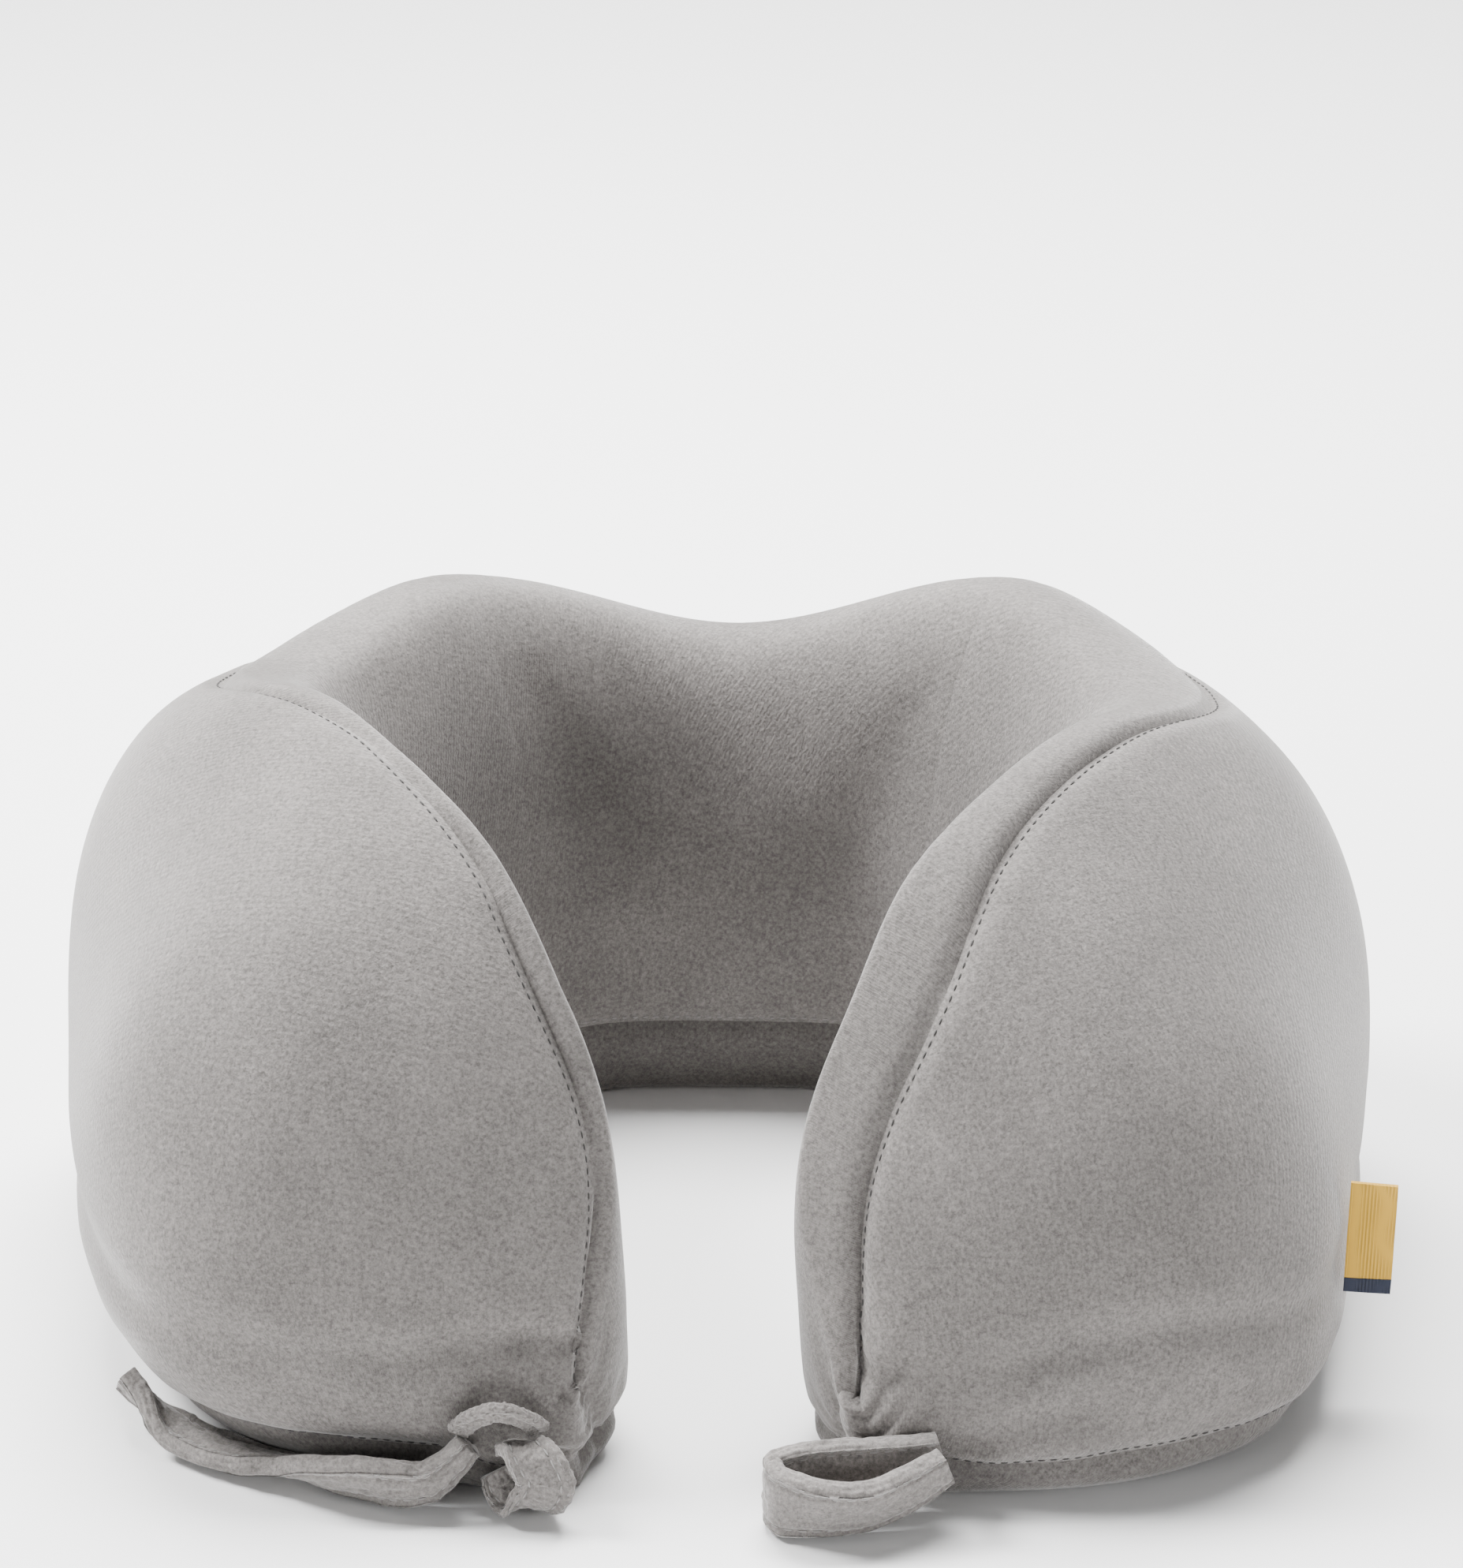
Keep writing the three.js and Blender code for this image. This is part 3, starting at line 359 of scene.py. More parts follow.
def add(nodes, kind, **inputs):
    node = nodes.new(kind)
    for key, value in inputs.items():
        if key.startswith("_"):
            setattr(node, key[1:], value)
        else:
            node.inputs[key.replace("__", " ")].default_value = value
    return node


def coordinates(nodes, links, scale, turn=0.0, uv=True):
    """UV (metres along the cloth) or object coordinates, scaled and turned in the cloth."""
    source = nodes.new("ShaderNodeTexCoord")
    mapping = nodes.new("ShaderNodeMapping")
    mapping.inputs["Scale"].default_value = scale
    mapping.inputs["Rotation"].default_value = (0, 0, turn)
    links.new(source.outputs["UV" if uv else "Object"], mapping.inputs["Vector"])
    return mapping.outputs["Vector"]


def ramp(nodes, links, source, stops):
    node = nodes.new("ShaderNodeValToRGB")
    node.color_ramp.elements[0].position = stops[0][0]
    node.color_ramp.elements[0].color = (*stops[0][1], 1)
    node.color_ramp.elements[-1].position = stops[-1][0]
    node.color_ramp.elements[-1].color = (*stops[-1][1], 1)
    for place, colour in stops[1:-1]:
        element = node.color_ramp.elements.new(place)
        element.color = (*colour, 1)
    links.new(source, node.inputs["Fac"])
    return node.outputs["Color"]


def relief(nodes, links, shader, height, strength, distance):
    bump = add(nodes, "ShaderNodeBump", Strength=strength, Distance=distance)
    links.new(height, bump.inputs["Height"])
    links.new(bump.outputs["Normal"], shader.inputs["Normal"])


def shade(colour, factor):
    return tuple(min(c * factor, 1) for c in colour)


def velour(name, colour, weave=1.0, mottle=0.16, sheen=0.55, uv=True):
    """Short pile over a fine diagonal knit: mottled colour, knit lines, nap and a soft sheen."""
    m, nodes, links, shader = material(name, colour, 0.92)
    shader.inputs["Sheen Weight"].default_value = sheen
    shader.inputs["Sheen Roughness"].default_value = 0.38
    shader.inputs["Sheen Tint"].default_value = (1, 0.99, 0.98, 1)
    shader.inputs["Specular IOR Level"].default_value = 0.12
    cloudy = add(nodes, "ShaderNodeTexNoise", Scale=24.0, Detail=6.0, Roughness=0.66)
    links.new(coordinates(nodes, links, (1, 1, 1), uv=False), cloudy.inputs["Vector"])
    nap = add(nodes, "ShaderNodeTexNoise", Scale=1050.0, Detail=4.0, Roughness=0.8)
    links.new(coordinates(nodes, links, (1, 1, 1), uv=False), nap.inputs["Vector"])
    lines = add(nodes, "ShaderNodeTexWave", Scale=215.0, Distortion=6.5, Detail=3.0)
    lines.inputs["Detail Scale"].default_value = 2.2
    lines.inputs["Detail Roughness"].default_value = 0.7
    links.new(coordinates(nodes, links, (1, 1, 1), 0.72, uv=uv), lines.inputs["Vector"])
    ribs = add(nodes, "ShaderNodeTexWave", Scale=260.0, Distortion=7.5, Detail=3.0)
    ribs.inputs["Detail Scale"].default_value = 2.6
    links.new(coordinates(nodes, links, (1, 1, 1), -0.9, uv=uv), ribs.inputs["Vector"])
    base = ramp(
        nodes,
        links,
        cloudy.outputs["Fac"],
        [(0.3, shade(colour, 1 - mottle)), (0.52, colour), (0.72, shade(colour, 1 + mottle))],
    )
    knit = ramp(nodes, links, lines.outputs["Fac"], [(0.1, (0.93,) * 3), (0.75, (1.03,) * 3)])
    fluff = ramp(nodes, links, nap.outputs["Fac"], [(0.34, (0.5,) * 3), (0.66, (1.42,) * 3)])
    first = add(nodes, "ShaderNodeMix", _data_type="RGBA", _blend_type="MULTIPLY")
    first.inputs["Factor"].default_value = 0.6 * weave
    links.new(base, first.inputs[6])
    links.new(knit, first.inputs[7])
    second = add(nodes, "ShaderNodeMix", _data_type="RGBA", _blend_type="MULTIPLY")
    second.inputs["Factor"].default_value = 0.8
    links.new(first.outputs[2], second.inputs[6])
    links.new(fluff, second.inputs[7])
    links.new(second.outputs[2], shader.inputs["Base Color"])
    height = add(nodes, "ShaderNodeMath", _operation="MULTIPLY_ADD")
    links.new(lines.outputs["Fac"], height.inputs[0])
    height.inputs[1].default_value = 0.22 * weave
    links.new(nap.outputs["Fac"], height.inputs[2])
    more = add(nodes, "ShaderNodeMath", _operation="MULTIPLY_ADD")
    links.new(ribs.outputs["Fac"], more.inputs[0])
    more.inputs[1].default_value = 0.125 * weave
    links.new(height.outputs[0], more.inputs[2])
    relief(nodes, links, shader, more.outputs[0], 0.5, 0.0004)
    return m


def plain_cloth(name, colour, scale=900.0, strength=0.4):
    """A fine plain weave, for the liner, tapes and label."""
    m, nodes, links, shader = material(name, colour, 0.85)
    shader.inputs["Sheen Weight"].default_value = 0.15
    across = add(nodes, "ShaderNodeTexWave", Scale=scale, Distortion=0.3)
    down = add(nodes, "ShaderNodeTexWave", Scale=scale, Distortion=0.3, _bands_direction="Y")
    for wave in (across, down):
        links.new(coordinates(nodes, links, (1, 1, 1), 0.0, uv=False), wave.inputs["Vector"])
    both = add(nodes, "ShaderNodeMath", _operation="MAXIMUM")
    links.new(across.outputs["Fac"], both.inputs[0])
    links.new(down.outputs["Fac"], both.inputs[1])
    tone = ramp(nodes, links, both.outputs[0], [(0.3, shade(colour, 0.8)), (1.0, colour)])
    links.new(tone, shader.inputs["Base Color"])
    relief(nodes, links, shader, both.outputs[0], strength, 0.0002)
    return m


def porous(name, colour):
    """Open-cell foam: small pores in a pale body, each darkened with painted shade."""
    m, nodes, links, shader = material(name, colour, 0.95)
    cells = add(nodes, "ShaderNodeTexVoronoi", Scale=700.0)
    links.new(coordinates(nodes, links, (1, 1, 1), uv=False), cells.inputs["Vector"])
    # painted shade: the colour falls to 0.7 towards each cell's centre, where the bump sinks a pore
    tone = ramp(nodes, links, cells.outputs["Distance"], [(0.0, shade(colour, 0.7)), (0.4, colour)])
    links.new(tone, shader.inputs["Base Color"])
    relief(nodes, links, shader, cells.outputs["Distance"], 0.6, 0.0004)
    return m


def satin_metal(name, colour):
    m, nodes, links, shader = material(name, colour, 0.35, 1.0)
    wear = add(nodes, "ShaderNodeTexNoise", Scale=600.0, Detail=4.0)
    links.new(coordinates(nodes, links, (1, 1, 1), uv=False), wear.inputs["Vector"])
    tone = ramp(nodes, links, wear.outputs["Fac"], [(0.3, shade(colour, 0.8)), (0.7, shade(colour, 1.15))])
    links.new(tone, shader.inputs["Base Color"])
    relief(nodes, links, shader, wear.outputs["Fac"], 0.15, 0.0001)
    return m


GREY = (0.178, 0.166, 0.158)
velour_face = velour("velour_face", GREY)
velour_gusset = velour("velour_gusset", GREY)
# painted shade: the base panels use the face velour darkened to 0.78, so the base band low in the neck
# opening looks shaded
velour_base_painted_shade = velour("velour_base_painted_shade", shade(GREY, 0.78))
velour_strap = velour("velour_strap", shade(GREY, 1.06), weave=0.5, uv=False)
thread = plain_cloth("thread", (0.05, 0.047, 0.045), 2500.0)
pale_thread = plain_cloth("pale_thread", (0.3, 0.29, 0.28), 2500.0)
liner_cloth = plain_cloth("liner_cloth", (0.83, 0.82, 0.78), 500.0)
foam_body = porous("foam_body", (0.79, 0.73, 0.56))
tape_cloth = plain_cloth("tape_cloth", (0.12, 0.115, 0.11), 1200.0)
coil_nylon = plain_cloth("coil_nylon", (0.075, 0.07, 0.07), 2000.0, 0.2)
zip_metal = satin_metal("zip_metal", (0.32, 0.32, 0.33))

floor_mesh = bpy.data.meshes.new("floor")
reach = 6.0
floor_mesh.from_pydata(
    [(-reach, -reach, -0.0004), (reach, -reach, -0.0004), (reach, reach, -0.0004), (-reach, reach, -0.0004)],
    [],
    [(0, 1, 2, 3)],
)
floor = bpy.data.objects.new("floor", floor_mesh)
scene.collection.objects.link(floor)
floor_look, _, _, floor_shader = material("floor_look", (0.9, 0.9, 0.9), 0.7)
floor_shader.inputs["Specular IOR Level"].default_value = 0.2
floor_mesh.materials.append(floor_look)


# ------------------------------------------------------------------ how the cover fills out
FILLING_FRAMES = 20
SWELL_CAP = 2.6  # furthest that the cover moves, mm


def soften(grid_rows, grid_columns):
    """Cloth simulation of the whole skin on a coarse grid, held at the seams. It returns how far
    each coarse point moved, in mm."""
    coarse = surface[grid_rows][:, grid_columns]
    m, n = coarse.shape[:2]
    ends = [coarse[0].mean(axis=0), coarse[-1].mean(axis=0)]
    points = np.concatenate([coarse.reshape(-1, 3), ends]) * MM
    faces = []
    for i in range(m - 1):
        for j in range(n):
            k = (j + 1) % n
            faces.append((i * n + j, (i + 1) * n + j, (i + 1) * n + k, i * n + k))
    for j in range(n):
        k = (j + 1) % n
        faces.append((m * n, j, k))
        faces.append((m * n + 1, (m - 1) * n + k, (m - 1) * n + j))
    mesh = bpy.data.meshes.new("skin")
    mesh.from_pydata([tuple(p) for p in points], [], faces)
    skin = bpy.data.objects.new("skin", mesh)
    scene.collection.objects.link(skin)
    held = skin.vertex_groups.new(name="held")
    fixed = {0, BASE_OUT, BASE_IN}
    for j, column in enumerate(grid_columns):
        weight = 0.0
        if column in fixed:
            weight = 1.0
        elif BASE_OUT < column < BASE_IN:
            weight = 0.9
        if weight:
            held.add([i * n + j for i in range(m)], weight, "REPLACE")
    held.add([m * n, m * n + 1] + list(range(n)) + list(range((m - 1) * n, m * n)), 1.0, "REPLACE")
    cloth = skin.modifiers.new("cloth", "CLOTH")
    settings = cloth.settings
    settings.quality = 5
    settings.mass = 0.25
    settings.tension_stiffness = 18
    settings.compression_stiffness = 18
    settings.shear_stiffness = 6
    settings.bending_stiffness = 4.0
    settings.use_pressure = True
    settings.uniform_pressure_force = 4
    settings.shrink_min = -0.003
    settings.effector_weights.gravity = 0
    settings.vertex_group_mass = "held"
    cloth.collision_settings.use_collision = False
    cloth.point_cache.frame_start, cloth.point_cache.frame_end = 1, FILLING_FRAMES
    for step in range(1, FILLING_FRAMES + 1):
        scene.frame_set(step)
    depsgraph = bpy.context.evaluated_depsgraph_get()
    shaped = skin.evaluated_get(depsgraph).to_mesh()
    after = np.empty(len(shaped.vertices) * 3)
    shaped.vertices.foreach_get("co", after)
    moved = (after.reshape(-1, 3)[: m * n] - points[: m * n]).reshape(m, n, 3) / MM
    bpy.data.objects.remove(skin)
    scene.frame_set(1)
    size = np.linalg.norm(moved, axis=2, keepdims=True)
    return moved * np.minimum(1, SWELL_CAP / np.maximum(size, 1e-9))


coarse_rows = list(range(0, len(ROWS), 3))
if coarse_rows[-1] != len(ROWS) - 1:
    coarse_rows.append(len(ROWS) - 1)
coarse_columns = list(range(0, COLUMNS, 4))
moved = soften(coarse_rows, coarse_columns)
closed = np.concatenate([moved, moved[:, :1]], axis=1)
wide = np.empty((len(coarse_rows), COLUMNS, 3))
for k in range(3):
    for i in range(len(coarse_rows)):
        wide[i, :, k] = np.interp(np.arange(COLUMNS), coarse_columns + [COLUMNS], closed[i, :, k])
swell = np.empty_like(surface)
for k in range(3):
    for j in range(COLUMNS):
        swell[:, j, k] = np.interp(np.arange(len(ROWS)), coarse_rows, wide[:, j, k])
swell[:, BASE_IN:] *= NECK_SWELL
surface = surface + swell
surface[..., 2] = np.maximum(surface[..., 2], 0)
outward = normals_of(surface)


# ------------------------------------------------------------------ wrinkles and seam valleys
def smooth_noise(shape, cell, generator):
    """Value noise on a grid, cell points apart, smoothly blended."""
    rows, cols = shape[0] // cell + 3, shape[1] // cell + 3
    knots = generator.normal(size=(rows, cols))
    y, x = np.arange(shape[0]) / cell, np.arange(shape[1]) / cell
    i, j = y.astype(int), x.astype(int)
    fy, fx = y - i, x - j
    fy, fx = (fy * fy * (3 - 2 * fy))[:, None], (fx * fx * (3 - 2 * fx))[None, :]
    a, b = knots[i][:, j], knots[i][:, j + 1]
    c, d = knots[i + 1][:, j], knots[i + 1][:, j + 1]
    return (a * (1 - fx) + b * fx) * (1 - fy) + (c * (1 - fx) + d * fx) * fy


# distance of each grid point from the nearest seam column, measured on the cloth, in mm
gaps = np.linalg.norm(np.roll(surface, -1, axis=1) - surface, axis=2)
along_loop = np.concatenate([np.zeros((len(ROWS), 1)), np.cumsum(gaps, axis=1)], axis=1)


def from_seam(column):
    return np.abs(along_loop[:, :COLUMNS] - along_loop[:, column : column + 1])


to_edge = np.minimum(from_seam(0), from_seam(COLUMNS))
to_base_out = from_seam(BASE_OUT)
to_base_in = from_seam(BASE_IN)
row_place = np.cumsum(
    np.concatenate([[0], np.linalg.norm(np.diff(surface[:, 20], axis=0), axis=1)])
)

VALLEY = 2.3
VALLEY_WIDE = 2.6
depth = np.zeros(surface.shape[:2])
for gap_field in (to_edge, to_base_out, to_base_in):
    depth = np.maximum(depth, VALLEY * np.exp(-((gap_field / VALLEY_WIDE) ** 1.6)))
# puckers: short gathers square to the base seam, longer soft folds above the hem
pucker = smooth_noise(depth.shape, 5, rng) * 0.5
near_base = np.exp(-((to_base_out / 9) ** 2)) + 0.7 * np.exp(-((to_base_in / 9) ** 2))
near_edge = np.exp(-((to_edge / 7) ** 2))
broad = smooth_noise(depth.shape, 22, rng)
folds = smooth_noise((len(ROWS), COLUMNS), 9, rng)
arm_share = np.array([ease(abs(s), 0.25, 0.5) for s in ROWS])[:, None]
crease_line = 26 + 5 * smooth_noise((len(ROWS), 1), 26, rng)
crease = np.exp(-(((to_base_out - crease_line) / 5.5) ** 2)) * arm_share
ripple = (
    0.75 * pucker * near_base * (0.2 + 0.8 * arm_share)
    + 0.35 * pucker * near_edge
    + 0.6 * broad
    + 0.7 * folds * np.exp(-((to_base_out / 30) ** 2))
    - 1.5 * crease
)
for flex_place in (-FLEX, FLEX):
    off = np.abs(row_place - np.interp(flex_place, ROWS, row_place))
    sewn = np.where(np.arange(COLUMNS) <= BASE_IN, 1.0, 0.12)  # a faint join on the neck side
    depth = np.maximum(depth, (1.1 * np.exp(-((off / 2.4) ** 2)))[:, None] * sewn[None, :])
on_floor = np.clip(surface[..., 2] / 6, 0, 1)
shaped = surface + outward * ((ripple * on_floor - depth)[..., None])
shaped[..., 2] = np.maximum(shaped[..., 2], 0.02)
shaped = shaped + SHIFT
outward = normals_of(shaped)


# ------------------------------------------------------------------ meshes
def mesh_object(name, points, faces, look):
    """A smooth-shaded mesh object of points in metres, with one material."""
    mesh = bpy.data.meshes.new(name)
    mesh.from_pydata(points, [], faces)
    mesh.polygons.foreach_set("use_smooth", [True] * len(mesh.polygons))
    mesh.materials.append(look)
    item = bpy.data.objects.new(name, mesh)
    scene.collection.objects.link(item)
    return item


def tube_faces(rings, count, start=0):
    """Quads that join rings of count points, one ring after the other."""
    faces = []
    for i in range(rings - 1):
        for j in range(count):
            k = (j + 1) % count
            a, b = start + i * count, start + (i + 1) * count
            faces.append((a + j, a + k, b + k, b + j))
    return faces


def grid_object(name, grid, look, uv_grid, thickness, flip=False):
    """A cloth panel: a grid of points with its UVs in metres, given thickness inward."""
    m, n = grid.shape[:2]
    index = np.arange(m * n).reshape(m, n)
    a, b = index[:-1, :-1].ravel(), index[1:, :-1].ravel()
    c, d = index[1:, 1:].ravel(), index[:-1, 1:].ravel()
    quads = np.stack([a, b, c, d] if not flip else [a, d, c, b], -1)
    mesh = bpy.data.meshes.new(name)
    mesh.from_pydata((grid.reshape(-1, 3) * MM).tolist(), [], quads.tolist())
    layer = mesh.uv_layers.new(name="cloth")
    loop_vertex = np.empty(len(mesh.loops), int)
    mesh.loops.foreach_get("vertex_index", loop_vertex)
    layer.data.foreach_set("uv", uv_grid.reshape(-1, 2)[loop_vertex].ravel())
    mesh.polygons.foreach_set("use_smooth", [True] * len(mesh.polygons))
    mesh.materials.append(look)
    item = bpy.data.objects.new(name, mesh)
    scene.collection.objects.link(item)
    if thickness:
        wall = item.modifiers.new("cloth_thickness", "SOLIDIFY")
        wall.thickness = thickness * MM
        wall.offset = -1
        wall.use_even_offset = False
        apply_modifiers(item)
    return item


def apply_modifiers(item):
    depsgraph = bpy.context.evaluated_depsgraph_get()
    final = bpy.data.meshes.new_from_object(item.evaluated_get(depsgraph))
    final.set_sharp_from_angle(angle=math.radians(55))
    item.modifiers.clear()
    item.data = final


def uv_of(rows, columns):
    u = np.repeat((row_place[rows] * MM)[:, None], len(columns), axis=1)
    wrapped = np.array(columns)
    v = along_loop[np.array(rows)][:, wrapped] * MM
    return np.stack([u, v], -1)


def patch(name, rows, first, last, look, thickness=VELOUR, extra=None):
    columns = list(range(first, last + 1))
    grid = shaped[rows][:, [c % COLUMNS for c in columns]]
    uv = uv_of(rows, columns)
    if extra is not None:
        grid = np.concatenate([grid, extra[0]]) if extra[2] > 0 else np.concatenate([extra[0], grid])
        uv = np.concatenate([uv, extra[1]]) if extra[2] > 0 else np.concatenate([extra[1], uv])
    return grid_object(name, grid, look, uv, thickness)


# the span from each arm's cut plane over the first part of the arm; no piece is bent along it
cut_right, cut_left = Slice(FLEX), Slice(-FLEX)


def flex_span(cut):
    a, b = cut.place(0, FLEX_LEVEL) + SHIFT, cut.place(1, FLEX_LEVEL) + SHIFT
    across = (b - a)[:2] / np.linalg.norm((b - a)[:2])
    onward = np.array([across[1] * cut.side, -across[0] * cut.side, 0])
    if onward[1] > 0:
        onward = -onward
    middle = (a + b) / 2
    return middle * MM, (middle + onward * FLEX_SPAN) * MM


SPANS = {"right": flex_span(cut_right), "left": flex_span(cut_left)}


def bend(item, side):
    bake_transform(item)


left_rows = list(range(0, MIDDLE - FLEX_ROW + 1))
back_rows = list(range(MIDDLE - FLEX_ROW, MIDDLE + FLEX_ROW + 1))
right_rows = list(range(MIDDLE + FLEX_ROW, len(ROWS)))


def tip_rows(side):
    """The gusset's end: it turns round the tip and meets the outer panel's front edge."""
    end = -1 if side == "right" else 0
    loop = shaped[end]
    gusset = loop[[c % COLUMNS for c in range(BASE_IN, COLUMNS + 1)]]
    panel = evenly(loop[: BASE_OUT + 1][::-1], COLUMNS - BASE_IN)
    before = shaped[-4 if side == "right" else 3].mean(axis=0)
    onward = loop.mean(axis=0) - before
    onward[2] = 0
    onward /= np.linalg.norm(onward)
    count = 8
    rows, uv = [], []
    last_uv = uv_of([len(ROWS) - 1 if side == "right" else 0], list(range(BASE_IN, COLUMNS + 1)))[0]
    for k in range(1, count + 1):
        t = k / count
        bulge = 2.6 * math.sin(math.pi * t) ** 0.8 * (1 - 0.75 * max(0, 2 * t - 1) ** 2)
        rows.append(gusset + (panel - gusset) * t + onward * bulge)
        step = last_uv.copy()
        step[:, 0] += (1 if side == "right" else -1) * t * 0.009
        uv.append(step)
    order = 1 if side == "right" else -1
    rows, uv = np.array(rows), np.array(uv)
    return (rows, uv, 1) if order > 0 else (rows[::-1], uv[::-1], -1)


def tip_base_rows(side):
    """The base panel's end: it rises from the floor to the foot of the gusset's end."""
    end = -1 if side == "right" else 0
    rows, _, order = tip_rows(side)
    foot = np.concatenate([shaped[end][BASE_IN][None], rows[:: order if order > 0 else -1][:, 0]])
    columns = list(range(BASE_OUT, BASE_IN + 1))
    across = np.linspace(len(foot) - 1, 0, len(columns))
    goal = np.stack([np.interp(across, np.arange(len(foot)), foot[:, k]) for k in range(3)], -1)
    edge = shaped[end][columns]
    steps = [edge + (goal - edge) * t for t in np.linspace(0.2, 1, 5)]
    last_uv = uv_of([len(ROWS) - 1 if side == "right" else 0], columns)[0]
    uv = [last_uv + np.array([order * t * 0.006, 0]) for t in np.linspace(0.2, 1, 5)]
    steps, uv = np.array(steps), np.array(uv)
    return (steps, uv, 1) if order > 0 else (steps[::-1], uv[::-1], -1)


outer_back = patch("cover_panel_back", back_rows, 0, BASE_OUT, velour_face)
neck_back = patch("cover_neck_panel", back_rows, BASE_IN, COLUMNS, velour_gusset)
base_back = patch("cover_base_back_panel", back_rows, BASE_OUT, BASE_IN, velour_base_painted_shade)
for item in (outer_back, neck_back, base_back):
    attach(item, "back")
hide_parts("cover_outer_back")
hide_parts("cover_neck_back")
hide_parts("cover_base_back")
for side, rows in (("left", left_rows), ("right", right_rows)):
    tip, tip_base = tip_rows(side), tip_base_rows(side)
    for name, node, first, last, look, extra in (
        (f"cover_panel_{side}", "cover_outer_arm", 0, BASE_OUT, velour_face, None),
        (f"cover_gusset_panel_{side}", "cover_gusset", BASE_IN, COLUMNS, velour_gusset, tip),
        (f"cover_base_panel_{side}", "cover_base_arm", BASE_OUT, BASE_IN, velour_base_painted_shade, tip_base),
    ):
        item = patch(name, rows, first, last, look, extra=extra)
        bend(item, side)
        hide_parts(f"{node}_{side}")


# ------------------------------------------------------------------ liner and foam inside
def inner_body(name, rows, inset, look, nodes, side=None, thickness=0, every=4):
    picked = sorted(set(list(rows[::every]) + [rows[-1]]))
    if side:
        picked = [r for r in picked if abs(ROWS[r]) < FOAM_TIP]
    cols = list(range(0, COLUMNS, 4))
    grid = (shaped - outward * inset)[picked][:, cols]
    m, n = grid.shape[:2]
    points = grid.reshape(-1, 3).tolist()
    faces = []
    for i in range(m - 1):
        for j in range(n):
            k = (j + 1) % n
            faces.append((i * n + j, (i + 1) * n + j, (i + 1) * n + k, i * n + k))
    closed_ends = [0, m - 1]
    if thickness:
        closed_ends = {"right": [m - 1], "left": [0]}.get(side, [])
    for end in closed_ends:
        points.append(grid[end].mean(axis=0).tolist())
        centre = len(points) - 1
        for j in range(n):
            k = (j + 1) % n
            a, b = end * n + j, end * n + k
            faces.append((centre, a, b) if end == 0 else (centre, b, a))
    item = mesh_object(name, [tuple(np.array(p) * MM) for p in points], faces, look)
    if thickness:
        wall = item.modifiers.new("cloth_thickness", "SOLIDIFY")
        wall.thickness = thickness * MM
        wall.offset = -1
        apply_modifiers(item)
    if side:
        bend(item, side)
    else:
        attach(item, "back")
    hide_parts(*nodes)
    return item


for side, rows in (("left", left_rows), ("right", right_rows)):
    node = f"foam_core_arm_{side}"
    foam = inner_body(f"foam_{side}", rows, FOAM_INSET, foam_body, [node], side)
    node = f"liner_arm_{side}"
    inner_body(f"liner_{side}", rows, LINER_INSET, liner_cloth, [node], side, LINER_CLOTH)
foam = inner_body("foam_middle", back_rows, FOAM_INSET, foam_body, ["foam_core_back"])
node = "liner_back"
inner_body("liner_middle", back_rows, LINER_INSET, liner_cloth, [node], None, LINER_CLOTH)


# ------------------------------------------------------------------ stitches
STITCH_PITCH = 2.6  # along the seams
JOIN_PITCH = 2.8  # where back and arm panels meet
STRAP_PITCH = 3.0


def capsules(name, places, ways, length, radius, look, body=None, side=None):
    """One mesh of many small thread stitches: spindles at the places, along the ways (mm)."""
    rings = [(-0.5, 0.35), (-0.25, 0.95), (0.25, 0.95), (0.5, 0.35)]
    sides = 6
    points, faces = [], []
    for place, way in zip(places, ways):
        way = np.array(way) / max(np.linalg.norm(way), 1e-9)
        helper = np.array([0, 0, 1.0]) if abs(way[2]) < 0.9 else np.array([1.0, 0, 0])
        u = np.cross(way, helper)
        u /= np.linalg.norm(u)
        v = np.cross(way, u)
        start = len(points)
        for t, r in rings:
            for k in range(sides):
                angle = 2 * math.pi * k / sides
                ring = (u * math.cos(angle) + v * math.sin(angle)) * radius * r
                points.append(place + way * t * length + ring)
        for i in range(len(rings) - 1):
            for k in range(sides):
                a, b = start + i * sides + k, start + i * sides + (k + 1) % sides
                faces.append((a, a + sides, b + sides, b))
        faces.append(tuple(start + k for k in range(sides)))
        last = start + (len(rings) - 1) * sides
        faces.append(tuple(last + k for k in reversed(range(sides))))
    item = mesh_object(name, [tuple(np.array(p) * MM) for p in points], faces, look)
    if side:
        bend(item, side)
    elif body:
        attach(item, body)
    return item


def along_line(line, pitch):
    """Places every pitch mm along a polyline, with its direction there."""
    far = np.concatenate([[0], np.cumsum(np.linalg.norm(np.diff(line, axis=0), axis=1))])
    goal = np.arange(pitch * 0.6, far[-1] - pitch * 0.4, pitch)
    places = np.stack([np.interp(goal, far, line[:, k]) for k in range(3)], -1)
    ahead = np.stack([np.interp(goal + 0.4, far, line[:, k]) for k in range(3)], -1)
    return places, ahead - places


def seam_stitches(name, rows, column, offset, look, side=None, length=1.5, radius=0.26):
    beside = (column + offset) % COLUMNS
    line = shaped[rows][:, beside] + outward[rows][:, beside] * 0.05
    places, ways = along_line(line, STITCH_PITCH)
    return capsules(name, places, ways, length, radius, look, body="back", side=side)


for side, rows in (("left", left_rows), ("right", right_rows), (None, back_rows)):
    tail = side or "back"
    seam_stitches(f"stitches_edge_{tail}", rows, 0, 1, thread, side)
    seam_stitches(f"stitches_neck_{tail}", rows, BASE_IN, 1, pale_thread, side, 1.3, 0.28)
    if side:
        seam_stitches(f"stitches_base_{tail}", rows, BASE_OUT, -1, thread, side)
for side, row in (("left", MIDDLE - FLEX_ROW), ("right", MIDDLE + FLEX_ROW)):
    line = shaped[row][: BASE_OUT + 1] + outward[row][: BASE_OUT + 1] * 0.1
    places, ways = along_line(line, JOIN_PITCH)
    capsules(f"stitches_panel_join_{side}", places, ways, 1.5, 0.24, thread, body="back")


